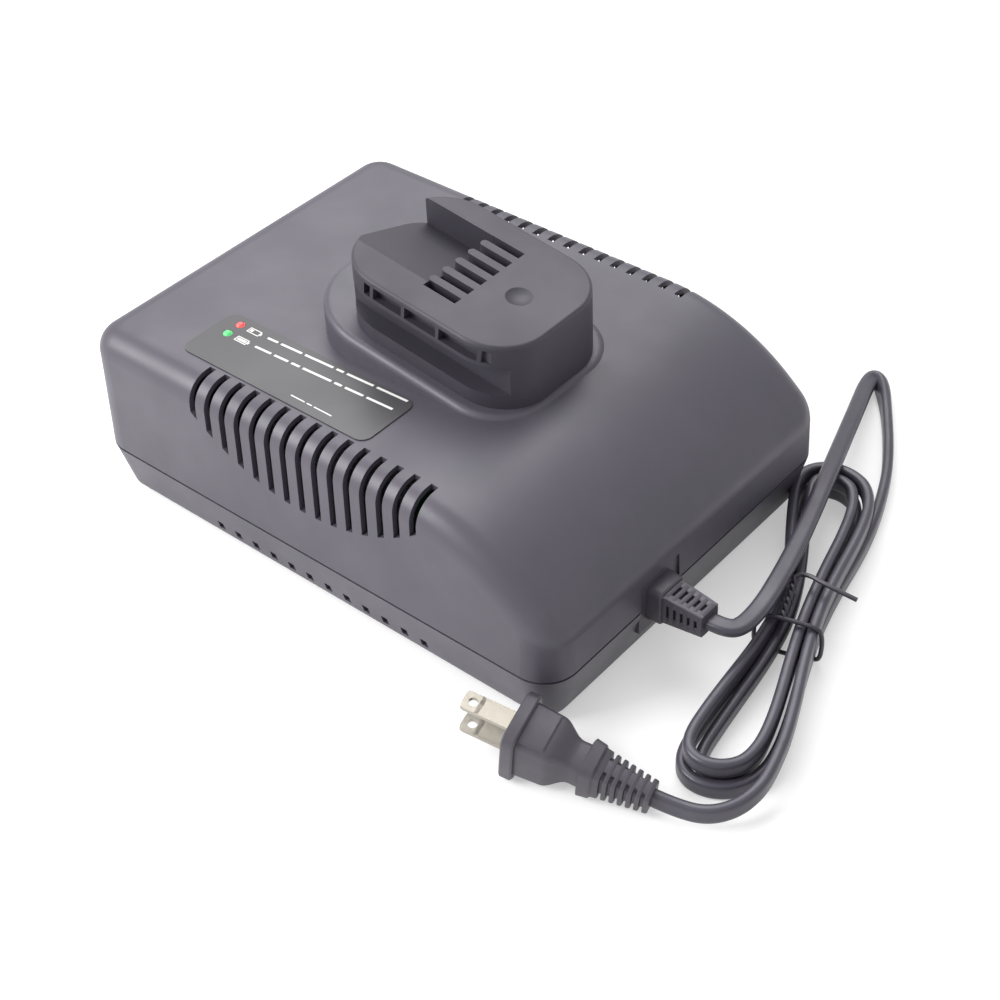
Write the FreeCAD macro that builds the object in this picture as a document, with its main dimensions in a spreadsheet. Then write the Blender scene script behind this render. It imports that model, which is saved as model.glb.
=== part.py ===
import FreeCAD, Part
import Sketcher
import math
import os
from FreeCAD import Placement, Rotation, Vector

# Power tool battery charger: a flat moulded case with a slide-on battery dock on its top,
# a moulded mains cord that leaves the nose end, is tied in a hank and ends in a two-blade plug.
# Frame: +X towards the cord end, -Y the vented side with the status label, +Z up.
# The origin lies on the surface, under the middle of the case.

doc = FreeCAD.newDocument("charger")
sheet = doc.addObject("Spreadsheet::Sheet", "Sizes")


class Measure:
    """A size that keeps its number and the words that bind it to the sheet."""

    def __init__(self, value, text):
        self.value = value
        self.text = text

    def __add__(self, other):
        other = measured(other)
        return Measure(self.value + other.value, f"({self.text} + {other.text})")

    def __sub__(self, other):
        other = measured(other)
        return Measure(self.value - other.value, f"({self.text} - {other.text})")

    def __mul__(self, other):
        other = measured(other)
        return Measure(self.value * other.value, f"({self.text} * {other.text})")

    def __truediv__(self, other):
        other = measured(other)
        return Measure(self.value / other.value, f"({self.text} / {other.text})")

    def __neg__(self):
        return Measure(-self.value, f"(0 - {self.text})")

    def __radd__(self, other):
        return measured(other) + self

    def __rsub__(self, other):
        return measured(other) - self

    def __rmul__(self, other):
        return measured(other) * self


def measured(size):
    if isinstance(size, Measure):
        return size
    return Measure(float(size), repr(float(size)))


def cosine(angle):
    return Measure(math.cos(math.radians(angle.value)), f"cos({angle.text} * 1 deg)")


def sine(angle):
    return Measure(math.sin(math.radians(angle.value)), f"sin({angle.text} * 1 deg)")


row = 0


def size(alias, value):
    """Write one driving size into the sheet and return it as a Measure."""
    global row
    row += 1
    sheet.set(f"A{row}", alias)
    sheet.set(f"B{row}", str(value))
    sheet.setAlias(f"B{row}", alias)
    return Measure(float(value), f"Sizes.{alias}")


# Case
case_length = size("case_length", 200)
case_width = size("case_width", 146.5)
case_corner = size("case_corner", 12)
seam_height = size("seam_height", 22)
seam_gap = size("seam_gap", 0.8)
foot_height = size("foot_height", 1.5)
base_wall = size("base_wall", 3.4)
base_floor = size("base_floor", 2.6)
base_taper = size("base_taper", 5)
base_edge = size("base_edge", 4.5)
tongue_height = size("tongue_height", 2.4)
cover_height = size("cover_height", 46.3)
cover_wall = size("cover_wall", 2)
cover_taper = size("cover_taper", 1.6)
cover_edge = size("cover_edge", 9)
nose_length = size("nose_length", 61)
nose_angle = size("nose_angle", 56)
nose_radius = size("nose_radius", 75)
fit_gap = size("fit_gap", 0.3)

# Cooling slots over the long top edges, and the row of small square vents below the seam
slot_count = size("slot_count", 15)
slot_pitch = size("slot_pitch", 6.76)
slot_width = size("slot_width", 2.7)
slot_inner_edge = size("slot_inner_edge", 61)
slot_arc_radius = size("slot_arc_radius", 80)
slot_lowest = size("slot_lowest", 40.3)
vent_count = size("vent_count", 12)
vent_pitch = size("vent_pitch", 8.33)
vent_width = size("vent_width", 2.8)
vent_rise = size("vent_rise", 3.4)
vent_height = size("vent_height", 7.9)

# Battery dock, tilted down towards the nose
dock_tilt = size("dock_tilt", 8)
dock_pivot = size("dock_pivot", 50)
plinth_back = size("plinth_back", 41.5)
plinth_width = size("plinth_width", 63)
plinth_round = size("plinth_round", 28)
plinth_nose_round = size("plinth_nose_round", 20)
plinth_rim = size("plinth_rim", 2.5)
dock_back = size("dock_back", 25)
dock_front = size("dock_front", 47.5)
dock_width = size("dock_width", 54)
dock_back_round = size("dock_back_round", 18)
dock_front_round = size("dock_front_round", 18)
dock_height = size("dock_height", 23.3)
dock_lip_edge = size("dock_lip_edge", 1.2)
rail_end = size("rail_end", 43)
rail_low = size("rail_low", 5.3)
rail_high = size("rail_high", 15.4)
rail_depth = size("rail_depth", 6.5)
pocket_low = size("pocket_low", 16.8)
pocket_high = size("pocket_high", 21.2)
pocket_depth = size("pocket_depth", 2.8)
pocket_rib = size("pocket_rib", 1.3)
recess_end = size("recess_end", 2.6)
recess_crease = size("recess_crease", 14.5)
recess_wall = size("recess_wall", 17.3)
recess_depth = size("recess_depth", 10)
contact_count = size("contact_count", 6)
contact_pitch = size("contact_pitch", 6.15)
contact_slot = size("contact_slot", 3.2)
contact_slot_end = size("contact_slot_end", 15)
fin_reach = size("fin_reach", 1)
dock_hollow_width = size("dock_hollow_width", 38)
dock_hollow_height = size("dock_hollow_height", 8)
dimple_radius = size("dimple_radius", 4.4)
dimple_depth = size("dimple_depth", 1.2)
dimple_place = size("dimple_place", 27)
contact_thickness = size("contact_thickness", 0.8)
contact_length = size("contact_length", 9)

# Status label and its two lamps
label_back = size("label_back", 64)
label_length = size("label_length", 81.5)
label_width = size("label_width", 24.6)
label_margin = size("label_margin", 13.25)
label_thickness = size("label_thickness", 0.4)
label_corner = size("label_corner", 4)
lamp_radius = size("lamp_radius", 1.6)
lamp_inset = size("lamp_inset", 7)
red_lamp_inset = size("red_lamp_inset", 4)
lamp_spacing = size("lamp_spacing", 5.8)

# Inside
board_length = size("board_length", 150)
board_width = size("board_width", 108)
board_thickness = size("board_thickness", 1.6)
post_height = size("post_height", 7)
post_radius = size("post_radius", 4)
screw_radius = size("screw_radius", 1.5)
screw_head_radius = size("screw_head_radius", 2.8)
screw_head_height = size("screw_head_height", 2)
boss_radius = size("boss_radius", 5)
boss_inset = size("boss_inset", 15)
dock_screw_seat = size("dock_screw_seat", 3.5)
dock_screw_back = size("dock_screw_back", 66)
dock_screw_front = size("dock_screw_front", 14)
boss_height = size("boss_height", 14)
core_length = size("core_length", 42)
core_width = size("core_width", 36)
core_height = size("core_height", 34)
winding_width = size("winding_width", 50)
can_radius = size("can_radius", 9)
can_height = size("can_height", 30)
fin_plate_length = size("fin_plate_length", 60)
fin_plate_height = size("fin_plate_height", 28)
cooling_fin_count = size("cooling_fin_count", 7)
cooling_fin_depth = size("cooling_fin_depth", 12)

# Cord gland, cord and plug
gland_place = size("gland_place", 19)
gland_width = size("gland_width", 20)
gland_reach = size("gland_reach", 18.6)
gland_rib_pitch = size("gland_rib_pitch", 3.6)
gland_rib_gap = size("gland_rib_gap", 1.4)
cord_thickness = size("cord_thickness", 4.2)
plug_yaw = size("plug_yaw", 10.5)
plug_width = size("plug_width", 21.5)
plug_height = size("plug_height", 25)
plug_length = size("plug_length", 48)
blade_length = size("blade_length", 17)
blade_width = size("blade_width", 6.35)
blade_thickness = size("blade_thickness", 1.5)
blade_spacing = size("blade_spacing", 12.7)
blade_hole = size("blade_hole", 3.1)
tie_thickness = size("tie_thickness", 1.6)

cover_top = seam_height + cover_height
half_length = case_length / 2
half_width = case_width / 2
nose_start = half_length - nose_length
label_inner_edge = half_width - label_margin - label_width


def bind(thing, prop, measure):
    thing.setExpression(prop, measured(measure).text)


def place(thing, x, y, z, axis=None, angle=None):
    """Put an object at a bound position, turned about one axis by a bound angle."""
    x, y, z = measured(x), measured(y), measured(z)
    turn = Rotation()
    if axis is not None:
        turn = Rotation(axis, measured(angle).value)
    thing.Placement = Placement(Vector(x.value, y.value, z.value), turn)
    bind(thing, "Placement.Base.x", x)
    bind(thing, "Placement.Base.y", y)
    bind(thing, "Placement.Base.z", z)
    if isinstance(angle, Measure):
        bind(thing, "Placement.Rotation.Angle", angle)
    return thing


def box(name, x0, x1, y0, y1, z0, z1):
    thing = doc.addObject("Part::Box", name)
    for prop, low, high in (("Length", x0, x1), ("Width", y0, y1), ("Height", z0, z1)):
        bind(thing, prop, measured(high) - measured(low))
    return place(thing, x0, y0, z0)


AXES = {"x": (Vector(0, 1, 0), 90), "y": (Vector(1, 0, 0), -90), "z": (None, None)}


def cylinder(name, x, y, z, radius, height, along="z"):
    thing = doc.addObject("Part::Cylinder", name)
    bind(thing, "Radius", radius)
    bind(thing, "Height", height)
    axis, angle = AXES[along]
    return place(thing, x, y, z, axis, angle)


def tilted_spot(u, y, w):
    """A point of the dock's own plane: u along the tilted top, w square to it."""
    u, y, w = measured(u), measured(y), measured(w)
    x = dock_pivot + u * cosine(dock_tilt) + w * sine(dock_tilt)
    z = cover_top - u * sine(dock_tilt) + w * cosine(dock_tilt)
    return x, y, z


def tilted_box(name, u0, u1, y0, y1, w0, w1):
    thing = doc.addObject("Part::Box", name)
    for prop, low, high in (("Length", u0, u1), ("Width", y0, y1), ("Height", w0, w1)):
        bind(thing, prop, measured(high) - measured(low))
    x, y, z = tilted_spot(u0, y0, w0)
    return place(thing, x, y, z, Vector(0, 1, 0), dock_tilt)


def tilted_cylinder(name, u, y, w, radius, height):
    thing = doc.addObject("Part::Cylinder", name)
    bind(thing, "Radius", radius)
    bind(thing, "Height", height)
    x, y, z = tilted_spot(u, y, w)
    return place(thing, x, y, z, Vector(0, 1, 0), dock_tilt)


def cut(name, base, tool):
    thing = doc.addObject("Part::Cut", name)
    thing.Base = base
    thing.Tool = tool
    return thing


def fuse(name, *shapes):
    thing = doc.addObject("Part::MultiFuse", name)
    thing.Shapes = list(shapes)
    return thing


def common(name, *shapes):
    thing = doc.addObject("Part::MultiCommon", name)
    thing.Shapes = list(shapes)
    return thing


def compound(name, shapes):
    thing = doc.addObject("Part::Compound", name)
    thing.Links = list(shapes)
    return thing


def new_body(name):
    return doc.addObject("PartDesign::Body", name)


def new_sketch(body, name, role, height=0):
    """An empty sketch on one of the body's own origin planes, lifted by a bound height."""
    sketch = body.newObject("Sketcher::SketchObject", name)
    plane = next(part for part in body.Origin.OriginFeatures if part.Role == role)
    sketch.AttachmentSupport = (plane, [""])
    sketch.MapMode = "FlatFace"
    bind(sketch, "AttachmentOffset.Base.z", height)
    return sketch


def named_size(sketch, kind, places, measure, name):
    """A driving constraint with a name, bound to the sheet."""
    index = sketch.addConstraint(Sketcher.Constraint(kind, *places, measured(measure).value))
    sketch.renameConstraint(index, name)
    bind(sketch, f"Constraints.{name}", measure)


def placed_size(sketch, kind, geometry, point, measure, name):
    """Hold a point at a signed distance from the sketch's origin."""
    measure = measured(measure)
    if measure.value < 0:
        named_size(sketch, kind, (geometry, point, -1, 1), -measure, name)
    else:
        named_size(sketch, kind, (-1, 1, geometry, point), measure, name)


def outline(sketch, x0, x1, y0, y1, back_round, front_round):
    """A rectangle with one corner radius at its low x end and another at its high x end."""
    x0, x1, y0, y1 = (measured(v) for v in (x0, x1, y0, y1))
    left, right, low, high = x0.value, x1.value, y0.value, y1.value
    rb, rf = measured(back_round).value, measured(front_round).value
    up = Vector(0, 0, 1)

    def line(ax, ay, bx, by):
        return sketch.addGeometry(Part.LineSegment(Vector(ax, ay, 0), Vector(bx, by, 0)))

    def arc(cx, cy, radius, start):
        circle = Part.Circle(Vector(cx, cy, 0), up, radius)
        first = math.radians(start)
        return sketch.addGeometry(Part.ArcOfCircle(circle, first, first + math.pi / 2))

    bottom = line(left + rb, low, right - rf, low)
    corner_a = arc(right - rf, low + rf, rf, 270)
    end = line(right, low + rf, right, high - rf)
    corner_b = arc(right - rf, high - rf, rf, 0)
    top = line(right - rf, high, left + rb, high)
    corner_c = arc(left + rb, high - rb, rb, 90)
    start = line(left, high - rb, left, low + rb)
    corner_d = arc(left + rb, low + rb, rb, 180)
    ring = [bottom, corner_a, end, corner_b, top, corner_c, start, corner_d]
    for one, two in zip(ring, ring[1:] + ring[:1]):
        sketch.addConstraint(Sketcher.Constraint("Tangent", one, 2, two, 1))
    sketch.addConstraint(Sketcher.Constraint("Horizontal", bottom))
    sketch.addConstraint(Sketcher.Constraint("Vertical", end))
    sketch.addConstraint(Sketcher.Constraint("Horizontal", top))
    sketch.addConstraint(Sketcher.Constraint("Vertical", start))
    sketch.addConstraint(Sketcher.Constraint("Equal", corner_a, corner_b))
    sketch.addConstraint(Sketcher.Constraint("Equal", corner_c, corner_d))
    named_size(sketch, "Radius", (corner_a,), front_round, "front_round")
    named_size(sketch, "Radius", (corner_c,), back_round, "back_round")
    named_size(sketch, "DistanceX", (start, 1, end, 1), x1 - x0, "across_x")
    named_size(sketch, "DistanceY", (bottom, 1, top, 1), y1 - y0, "across_y")
    placed_size(sketch, "DistanceX", start, 1, x0, "from_x")
    placed_size(sketch, "DistanceY", bottom, 1, y0, "from_y")


def pad(body, sketch, name, length, both_ways=False):
    feature = body.newObject("PartDesign::Pad", name)
    feature.Profile = sketch
    bind(feature, "Length", length)
    if both_ways:
        feature.SideType = "Symmetric"
    sketch.Visibility = False
    body.Tip = feature
    return feature


def plate(name, x0, x1, y0, y1, z0, z1, back_round, front_round=None):
    """A flat prism on an outline with rounded corners."""
    front = back_round if front_round is None else front_round
    body = new_body(name)
    sketch = new_sketch(body, name + "_plan", "XY_Plane", z0)
    outline(sketch, x0, x1, y0, y1, back_round, front)
    pad(body, sketch, name + "_pad", measured(z1) - measured(z0))
    return body


def lofted(name, plane, sections):
    """A straight-sided loft through rounded outlines: (height, x0, x1, y0, y1, corner)."""
    body = new_body(name)
    sketches = []
    for number, (height, x0, x1, y0, y1, corner) in enumerate(sections):
        sketch = new_sketch(body, f"{name}_section{number}", plane, height)
        outline(sketch, x0, x1, y0, y1, corner, corner)
        sketches.append(sketch)
    loft = body.newObject("PartDesign::AdditiveLoft", name + "_loft")
    loft.Profile = sketches[0]
    loft.Sections = sketches[1:]
    loft.Ruled = True
    body.Tip = loft
    return body, loft


def rounded(body, feature, name, radius, wanted):
    """Fillet the edges of a feature that the test picks."""
    doc.recompute()
    names = [f"Edge{i + 1}" for i, edge in enumerate(feature.Shape.Edges) if wanted(edge)]
    fillet = body.newObject("PartDesign::Fillet", name)
    fillet.Base = (feature, names)
    bind(fillet, "Radius", radius)
    body.Tip = fillet
    return fillet


def middle(edge):
    return edge.valueAt((edge.FirstParameter + edge.LastParameter) / 2)


def prism_side(name, corners, half_depth):
    """A straight-sided prism across the case from a side outline of (x, z) corners."""
    body = new_body(name)
    sketch = new_sketch(body, name + "_side", "XZ_Plane")
    points = [(measured(x), measured(z)) for x, z in corners]
    lines = []
    for (ax, az), (bx, bz) in zip(points, points[1:] + points[:1]):
        ends = (Vector(ax.value, az.value, 0), Vector(bx.value, bz.value, 0))
        lines.append(sketch.addGeometry(Part.LineSegment(*ends)))
    for one, two in zip(lines, lines[1:] + lines[:1]):
        sketch.addConstraint(Sketcher.Constraint("Coincident", one, 2, two, 1))
    for index, (line, (x, z)) in enumerate(zip(lines, points)):
        placed_size(sketch, "DistanceX", line, 1, x, f"x{index}")
        placed_size(sketch, "DistanceY", line, 1, z, f"z{index}")
    pad(body, sketch, name + "_pad", half_depth * 2, both_ways=True)
    return body


def both_sides(name, maker):
    """The same piece on the -Y side and on the +Y side."""
    return [maker(f"{name}_near", -1), maker(f"{name}_far", 1)]


def side_span(side, inner, outer):
    """The y span of a piece that lies between two distances from the middle plane."""
    if side < 0:
        return -measured(outer), -measured(inner)
    return measured(inner), measured(outer)


# Corner bosses that carry the case screws: four places shared by base, cover and screws
boss_x = half_length - boss_inset
boss_y = half_width - boss_inset
CORNERS = [(sx, sy) for sx in (-1, 1) for sy in (-1, 1)]


# Lower case: a tapered tray with rounded bottom edges, a tongue round its rim and square vents
def base_solid(name, inset, low, high, edge):
    taper = base_taper + inset
    sections = [
        (high, inset - half_length, half_length - inset, inset - half_width, half_width - inset, case_corner - inset),
        (low, taper - half_length, half_length - taper, taper - half_width, half_width - taper, case_corner - taper),
    ]
    body, loft = lofted(name, "XY_Plane", sections)
    floor_z = measured(low).value
    rounded(body, loft, name + "_edge", edge, lambda e: abs(e.BoundBox.ZMax - floor_z) < 0.01)
    return body


rim_height = seam_height - seam_gap / 2
base_outer = base_solid("base_outer", measured(0), foot_height, rim_height, base_edge)
base_hollow = base_solid("base_hollow", base_wall, foot_height + base_floor, rim_height, base_edge - 2)
tray = cut("tray", base_outer, base_hollow)

tongue_inset = cover_wall + fit_gap
tongue_outer = plate("tongue_outer", tongue_inset - half_length, half_length - tongue_inset,
                     tongue_inset - half_width, half_width - tongue_inset,
                     rim_height, rim_height + tongue_height, case_corner - tongue_inset)
tongue_inner = plate("tongue_inner", base_wall - half_length, half_length - base_wall,
                     base_wall - half_width, half_width - base_wall,
                     rim_height, rim_height + tongue_height, case_corner - base_wall)
tongue = cut("tongue", tongue_outer, tongue_inner)

floor_top = foot_height + base_floor
base_bosses = [cylinder(f"base_boss{i}", boss_x * sx, boss_y * sy, floor_top, boss_radius, seam_height - floor_top)
               for i, (sx, sy) in enumerate(CORNERS)]
post_x = board_length / 2 - 8
post_y = board_width / 2 - 8
board_posts = [cylinder(f"board_post{i}", post_x * sx, post_y * sy, floor_top, post_radius, post_height)
               for i, (sx, sy) in enumerate(CORNERS)]
base_solid_parts = fuse("base_solid_parts", tray, tongue, *base_bosses, *board_posts)

vent_side = half_width + 5
vent_body = new_body("vent_cutter")
vent_sketch = new_sketch(vent_body, "vent_square", "XZ_Plane")
first_vent = -vent_pitch * (vent_count - 1) / 2
outline(vent_sketch, first_vent - vent_width / 2, first_vent + vent_width / 2,
        vent_height - vent_rise / 2, vent_height + vent_rise / 2, 0.5, 0.5)
vent_pad = pad(vent_body, vent_sketch, "vent_pad", vent_side * 2, both_ways=True)
vent_row = vent_body.newObject("PartDesign::LinearPattern", "vent_row")
vent_row.Originals = [vent_pad]
vent_row.Direction = (vent_sketch, ["H_Axis"])
bind(vent_row, "Length", vent_pitch * (vent_count - 1))
bind(vent_row, "Occurrences", vent_count)
vent_body.Tip = vent_row

gland_low = seam_height - gland_width / 2
gland_high = seam_height + gland_width / 2
gland_near = -gland_place - gland_width / 2
gland_far = -gland_place + gland_width / 2
base_notch = box("base_notch", half_length - 12, half_length + 5, gland_near, gland_far, gland_low, seam_height + 10)
base_holes = []
for i, (sx, sy) in enumerate(CORNERS):
    base_holes.append(cylinder(f"case_screw_way{i}", boss_x * sx, boss_y * sy, 0,
                               screw_radius + fit_gap, seam_height + 1))
    base_holes.append(cylinder(f"case_screw_sink{i}", boss_x * sx, boss_y * sy, 0,
                               screw_head_radius + fit_gap, floor_top))
    base_holes.append(cylinder(f"board_screw_way{i}", post_x * sx, post_y * sy, floor_top + 1,
                               screw_radius - 0.1, post_height))
base_cutters = fuse("base_cutters", vent_body, base_notch, *base_holes)
lower_case = cut("lower_case", base_solid_parts, base_cutters)


# Upper cover: flat top that rolls down to the nose, vents over both long top edges
def cover_solid(name, inset, edge):
    low = seam_height + seam_gap / 2
    top = cover_top - inset
    taper = cover_taper + inset
    sections = [
        (low, inset - half_length, half_length - inset, inset - half_width, half_width - inset, case_corner - inset),
        (top, taper - half_length, half_length - taper, taper - half_width, half_width - taper, case_corner - taper),
    ]
    body, loft = lofted(name, "XY_Plane", sections)
    nose = new_sketch(body, name + "_nose", "XZ_Plane")
    radius = nose_radius - inset
    # The arc turns down by the nose angle and runs on as a straight slope past the end of the case
    arc_end_x = nose_start + radius * sine(nose_angle)
    arc_end_z = top - radius * (1 - cosine(nose_angle))
    slope_run = half_length + 6 - arc_end_x
    slope_end_z = arc_end_z - slope_run * sine(nose_angle) / cosine(nose_angle)
    start = Vector(nose_start.value, top.value, 0)
    bend = Vector(arc_end_x.value, arc_end_z.value, 0)
    end = Vector((half_length + 6).value, slope_end_z.value, 0)
    above = Vector(end.x, top.value + 5, 0)
    back = Vector(start.x, above.y, 0)
    centre = Vector(nose_start.value, top.value - radius.value, 0)
    circle = Part.Circle(centre, Vector(0, 0, 1), radius.value)
    first = math.radians(90 - nose_angle.value)
    arc = nose.addGeometry(Part.ArcOfCircle(circle, first, math.pi / 2))
    run = nose.addGeometry(Part.LineSegment(bend, end))
    front = nose.addGeometry(Part.LineSegment(end, above))
    lid = nose.addGeometry(Part.LineSegment(above, back))
    rear = nose.addGeometry(Part.LineSegment(back, start))
    for one, one_end, two, two_end in ((arc, 1, run, 1), (run, 2, front, 1), (front, 2, lid, 1), (lid, 2, rear, 1),
                                       (rear, 2, arc, 2)):
        nose.addConstraint(Sketcher.Constraint("Coincident", one, one_end, two, two_end))
    nose.addConstraint(Sketcher.Constraint("Vertical", front))
    nose.addConstraint(Sketcher.Constraint("Horizontal", lid))
    nose.addConstraint(Sketcher.Constraint("Vertical", rear))
    named_size(nose, "Radius", (arc,), radius, "nose_radius")
    placed_size(nose, "DistanceX", arc, 3, nose_start, "centre_x")
    placed_size(nose, "DistanceY", arc, 2, top, "start_z")
    placed_size(nose, "DistanceX", arc, 2, nose_start, "start_x")
    placed_size(nose, "DistanceX", run, 1, arc_end_x, "bend_x")
    placed_size(nose, "DistanceX", run, 2, half_length + 6, "end_x")
    placed_size(nose, "DistanceY", run, 2, slope_end_z, "end_z")
    placed_size(nose, "DistanceY", lid, 1, top + 5, "lid_z")
    nose.Visibility = False
    slope = body.newObject("PartDesign::Pocket", name + "_slope")
    slope.Profile = nose
    slope.SideType = "Symmetric"
    bind(slope, "Length", case_width + 20)
    body.Tip = slope
    low_z = low.value

    def top_edge(e):
        # every edge of the roof: none that runs down a corner or round the rim
        flat = e.BoundBox.ZMin > low_z + 1 and not (e.BoundBox.ZLength > 8 and e.BoundBox.XLength < 4)
        on_fold = abs(e.BoundBox.XMin - nose_start.value) < 0.01 and e.BoundBox.XLength < 0.01
        return flat and not on_fold

    rounded(body, slope, name + "_roof_edge", edge, top_edge)
    return body


cover_outer = cover_solid("cover_outer", measured(0), cover_edge)
cover_hollow = cover_solid("cover_hollow", cover_wall, cover_edge - cover_wall)
cover_shell = cut("cover_shell", cover_outer, cover_hollow)

# Plinth: a wedge under the dock, high at the back, that dies out into the roof
plinth_low = cover_top - cover_wall
plinth_high = cover_top + 20
plinth_plan = plate("plinth_plan", -plinth_back, dock_pivot, -plinth_width / 2, plinth_width / 2,
                    plinth_low, plinth_high, plinth_round, plinth_nose_round)
above_plinth = tilted_box("above_plinth", -120, 20, -plinth_width, plinth_width, 0, 60)
plinth_block = cut("plinth_block", plinth_plan, above_plinth)
doc.recompute()


def tilted_height(point):
    """Height of a point above the dock's tilted plane."""
    tilt = math.radians(dock_tilt.value)
    return (point.x - dock_pivot.value) * math.sin(tilt) + (point.z - cover_top.value) * math.cos(tilt)


def part_fillet(name, base, radius, wanted):
    """Fillet the picked edges of a boolean's result with a bound radius."""
    fillet = doc.addObject("Part::Fillet", name)
    fillet.Base = base
    picked = [i + 1 for i, edge in enumerate(base.Shape.Edges) if wanted(edge)]
    fillet.Edges = [(number, measured(radius).value, measured(radius).value) for number in picked]
    return fillet


def on_plinth_rim(edge):
    return abs(tilted_height(middle(edge))) < 0.01 and middle(edge).x < dock_pivot.value - 1


plinth = part_fillet("plinth", plinth_block, plinth_rim, on_plinth_rim)

cover_bosses = [cylinder(f"cover_boss{i}", boss_x * sx, boss_y * sy, seam_height, boss_radius, boss_height)
                for i, (sx, sy) in enumerate(CORNERS)]
# A web ties each boss to the end wall above the tongue
web_low = seam_height + tongue_height + fit_gap
boss_webs = []
for i, (sx, sy) in enumerate(CORNERS):
    x0, x1 = side_span(sx, boss_x, half_length - cover_wall / 2)
    boss_webs.append(box(f"boss_web{i}", x0, x1, boss_y * sy - cover_wall / 2, boss_y * sy + cover_wall / 2,
                         web_low, seam_height + boss_height))
cover_body = fuse("cover_body", cover_shell, plinth, *cover_bosses, *boss_webs)

slot_body = new_body("slot_rows")
slot_sketch = new_sketch(slot_body, "slot_profile", "XZ_Plane")
slot_middle = measured(0)
first_slot = slot_middle - slot_pitch * (slot_count - 1) / 2
outline(slot_sketch, first_slot - slot_width / 2, first_slot + slot_width / 2,
        slot_lowest, cover_top + 5, 0.6, 0.6)
slot_pad = pad(slot_body, slot_sketch, "slot_pad", (half_width + 5) * 2, both_ways=True)
slot_row = slot_body.newObject("PartDesign::LinearPattern", "slot_row")
slot_row.Originals = [slot_pad]
slot_row.Direction = (slot_sketch, ["H_Axis"])
bind(slot_row, "Length", slot_pitch * (slot_count - 1))
bind(slot_row, "Occurrences", slot_count)
slot_body.Tip = slot_row
slot_arch = cylinder("slot_arch", slot_middle, -half_width - 6, slot_lowest + slot_arc_radius,
                     slot_arc_radius, half_width * 2 + 12, along="y")
slot_core = box("slot_core", -half_length, half_length, -slot_inner_edge, slot_inner_edge, 0, cover_top + 20)
slot_cutter = cut("slot_cutter", common("slot_combs", slot_body, slot_arch), slot_core)

label_low_y = -label_inner_edge - label_width
lamp_x = -label_back + lamp_inset
red_lamp_y = -label_inner_edge - red_lamp_inset
green_lamp_y = red_lamp_y - lamp_spacing
LAMPS = [("red_lamp", red_lamp_y), ("green_lamp", green_lamp_y)]
lamp_ways = [cylinder(f"{name}_way", lamp_x, y, plinth_low - 1, lamp_radius + fit_gap / 2, cover_wall + 3)
             for name, y in LAMPS]

cover_notch = box("cover_notch", half_length - 12, half_length + 5, gland_near, gland_far,
                  seam_height - 1, gland_high)
hollow_back = -(dock_pivot + dock_back - 9)
hollow_front = -10
dock_window = tilted_box("dock_window", hollow_back, hollow_front,
                         -dock_hollow_width / 2, dock_hollow_width / 2, -25, 2)
cover_screw_holes = [cylinder(f"cover_screw_hole{i}", boss_x * sx, boss_y * sy, seam_height - 1,
                              screw_radius - 0.1, 10) for i, (sx, sy) in enumerate(CORNERS)]
DOCK_SCREWS = [(-place, side) for place in (dock_screw_back, dock_screw_front) for side in (-1, 1)]
dock_screw_y = dock_hollow_width / 2 + 3
dock_screw_ways = []
for i, (u, side) in enumerate(DOCK_SCREWS):
    dock_screw_ways.append(tilted_cylinder(f"dock_screw_way{i}", u, dock_screw_y * side, -20,
                                           screw_radius + fit_gap, 21))
    dock_screw_ways.append(tilted_cylinder(f"dock_screw_sink{i}", u, dock_screw_y * side, -20,
                                           screw_head_radius + fit_gap, measured(20) - dock_screw_seat))
cover_cutters = fuse("cover_cutters", slot_cutter, cover_notch, dock_window, *lamp_ways,
                     *cover_screw_holes, *dock_screw_ways)
upper_cover = cut("upper_cover", cover_body, cover_cutters)

# Battery dock: D-shaped stub with rail grooves down both sides, a sloping recess and contact slots
dock_plan = plate("dock_plan", -dock_back, dock_front, -dock_width / 2, dock_width / 2,
                  plinth_low, cover_top + 60, dock_back_round, dock_front_round)
dock_band = tilted_box("dock_band", -100, 20, -dock_width, dock_width, 0, dock_height)
dock_block = common("dock_block", dock_plan, dock_band)
doc.recompute()


def on_dock_rim(edge):
    return abs(tilted_height(middle(edge)) - dock_height.value) < 0.01


dock_rounded = part_fillet("dock_rounded", dock_block, dock_lip_edge, on_dock_rim)

# Tilted distances along the dock are counted from its pivot at the nose end
back_u = -(dock_pivot + dock_back + 12)
rail_end_u = rail_end - dock_pivot
rails = []
for side in (-1, 1):
    label = "near" if side < 0 else "far"
    y0, y1 = side_span(side, dock_width / 2 - rail_depth, dock_width / 2 + 5)
    rails.append(tilted_box(f"rail_groove_{label}", back_u, rail_end_u, y0, y1, rail_low, rail_high))
    y0, y1 = side_span(side, dock_width / 2 - pocket_depth, dock_width / 2 + 5)
    stops = [-64, -60, -47, -33, -17, rail_end_u]
    for index, (start, stop) in enumerate(zip(stops, stops[1:])):
        rails.append(tilted_box(f"side_pocket_{label}{index}", measured(start) + pocket_rib / 2,
                                measured(stop) - pocket_rib / 2, y0, y1, pocket_low, pocket_high))

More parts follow.
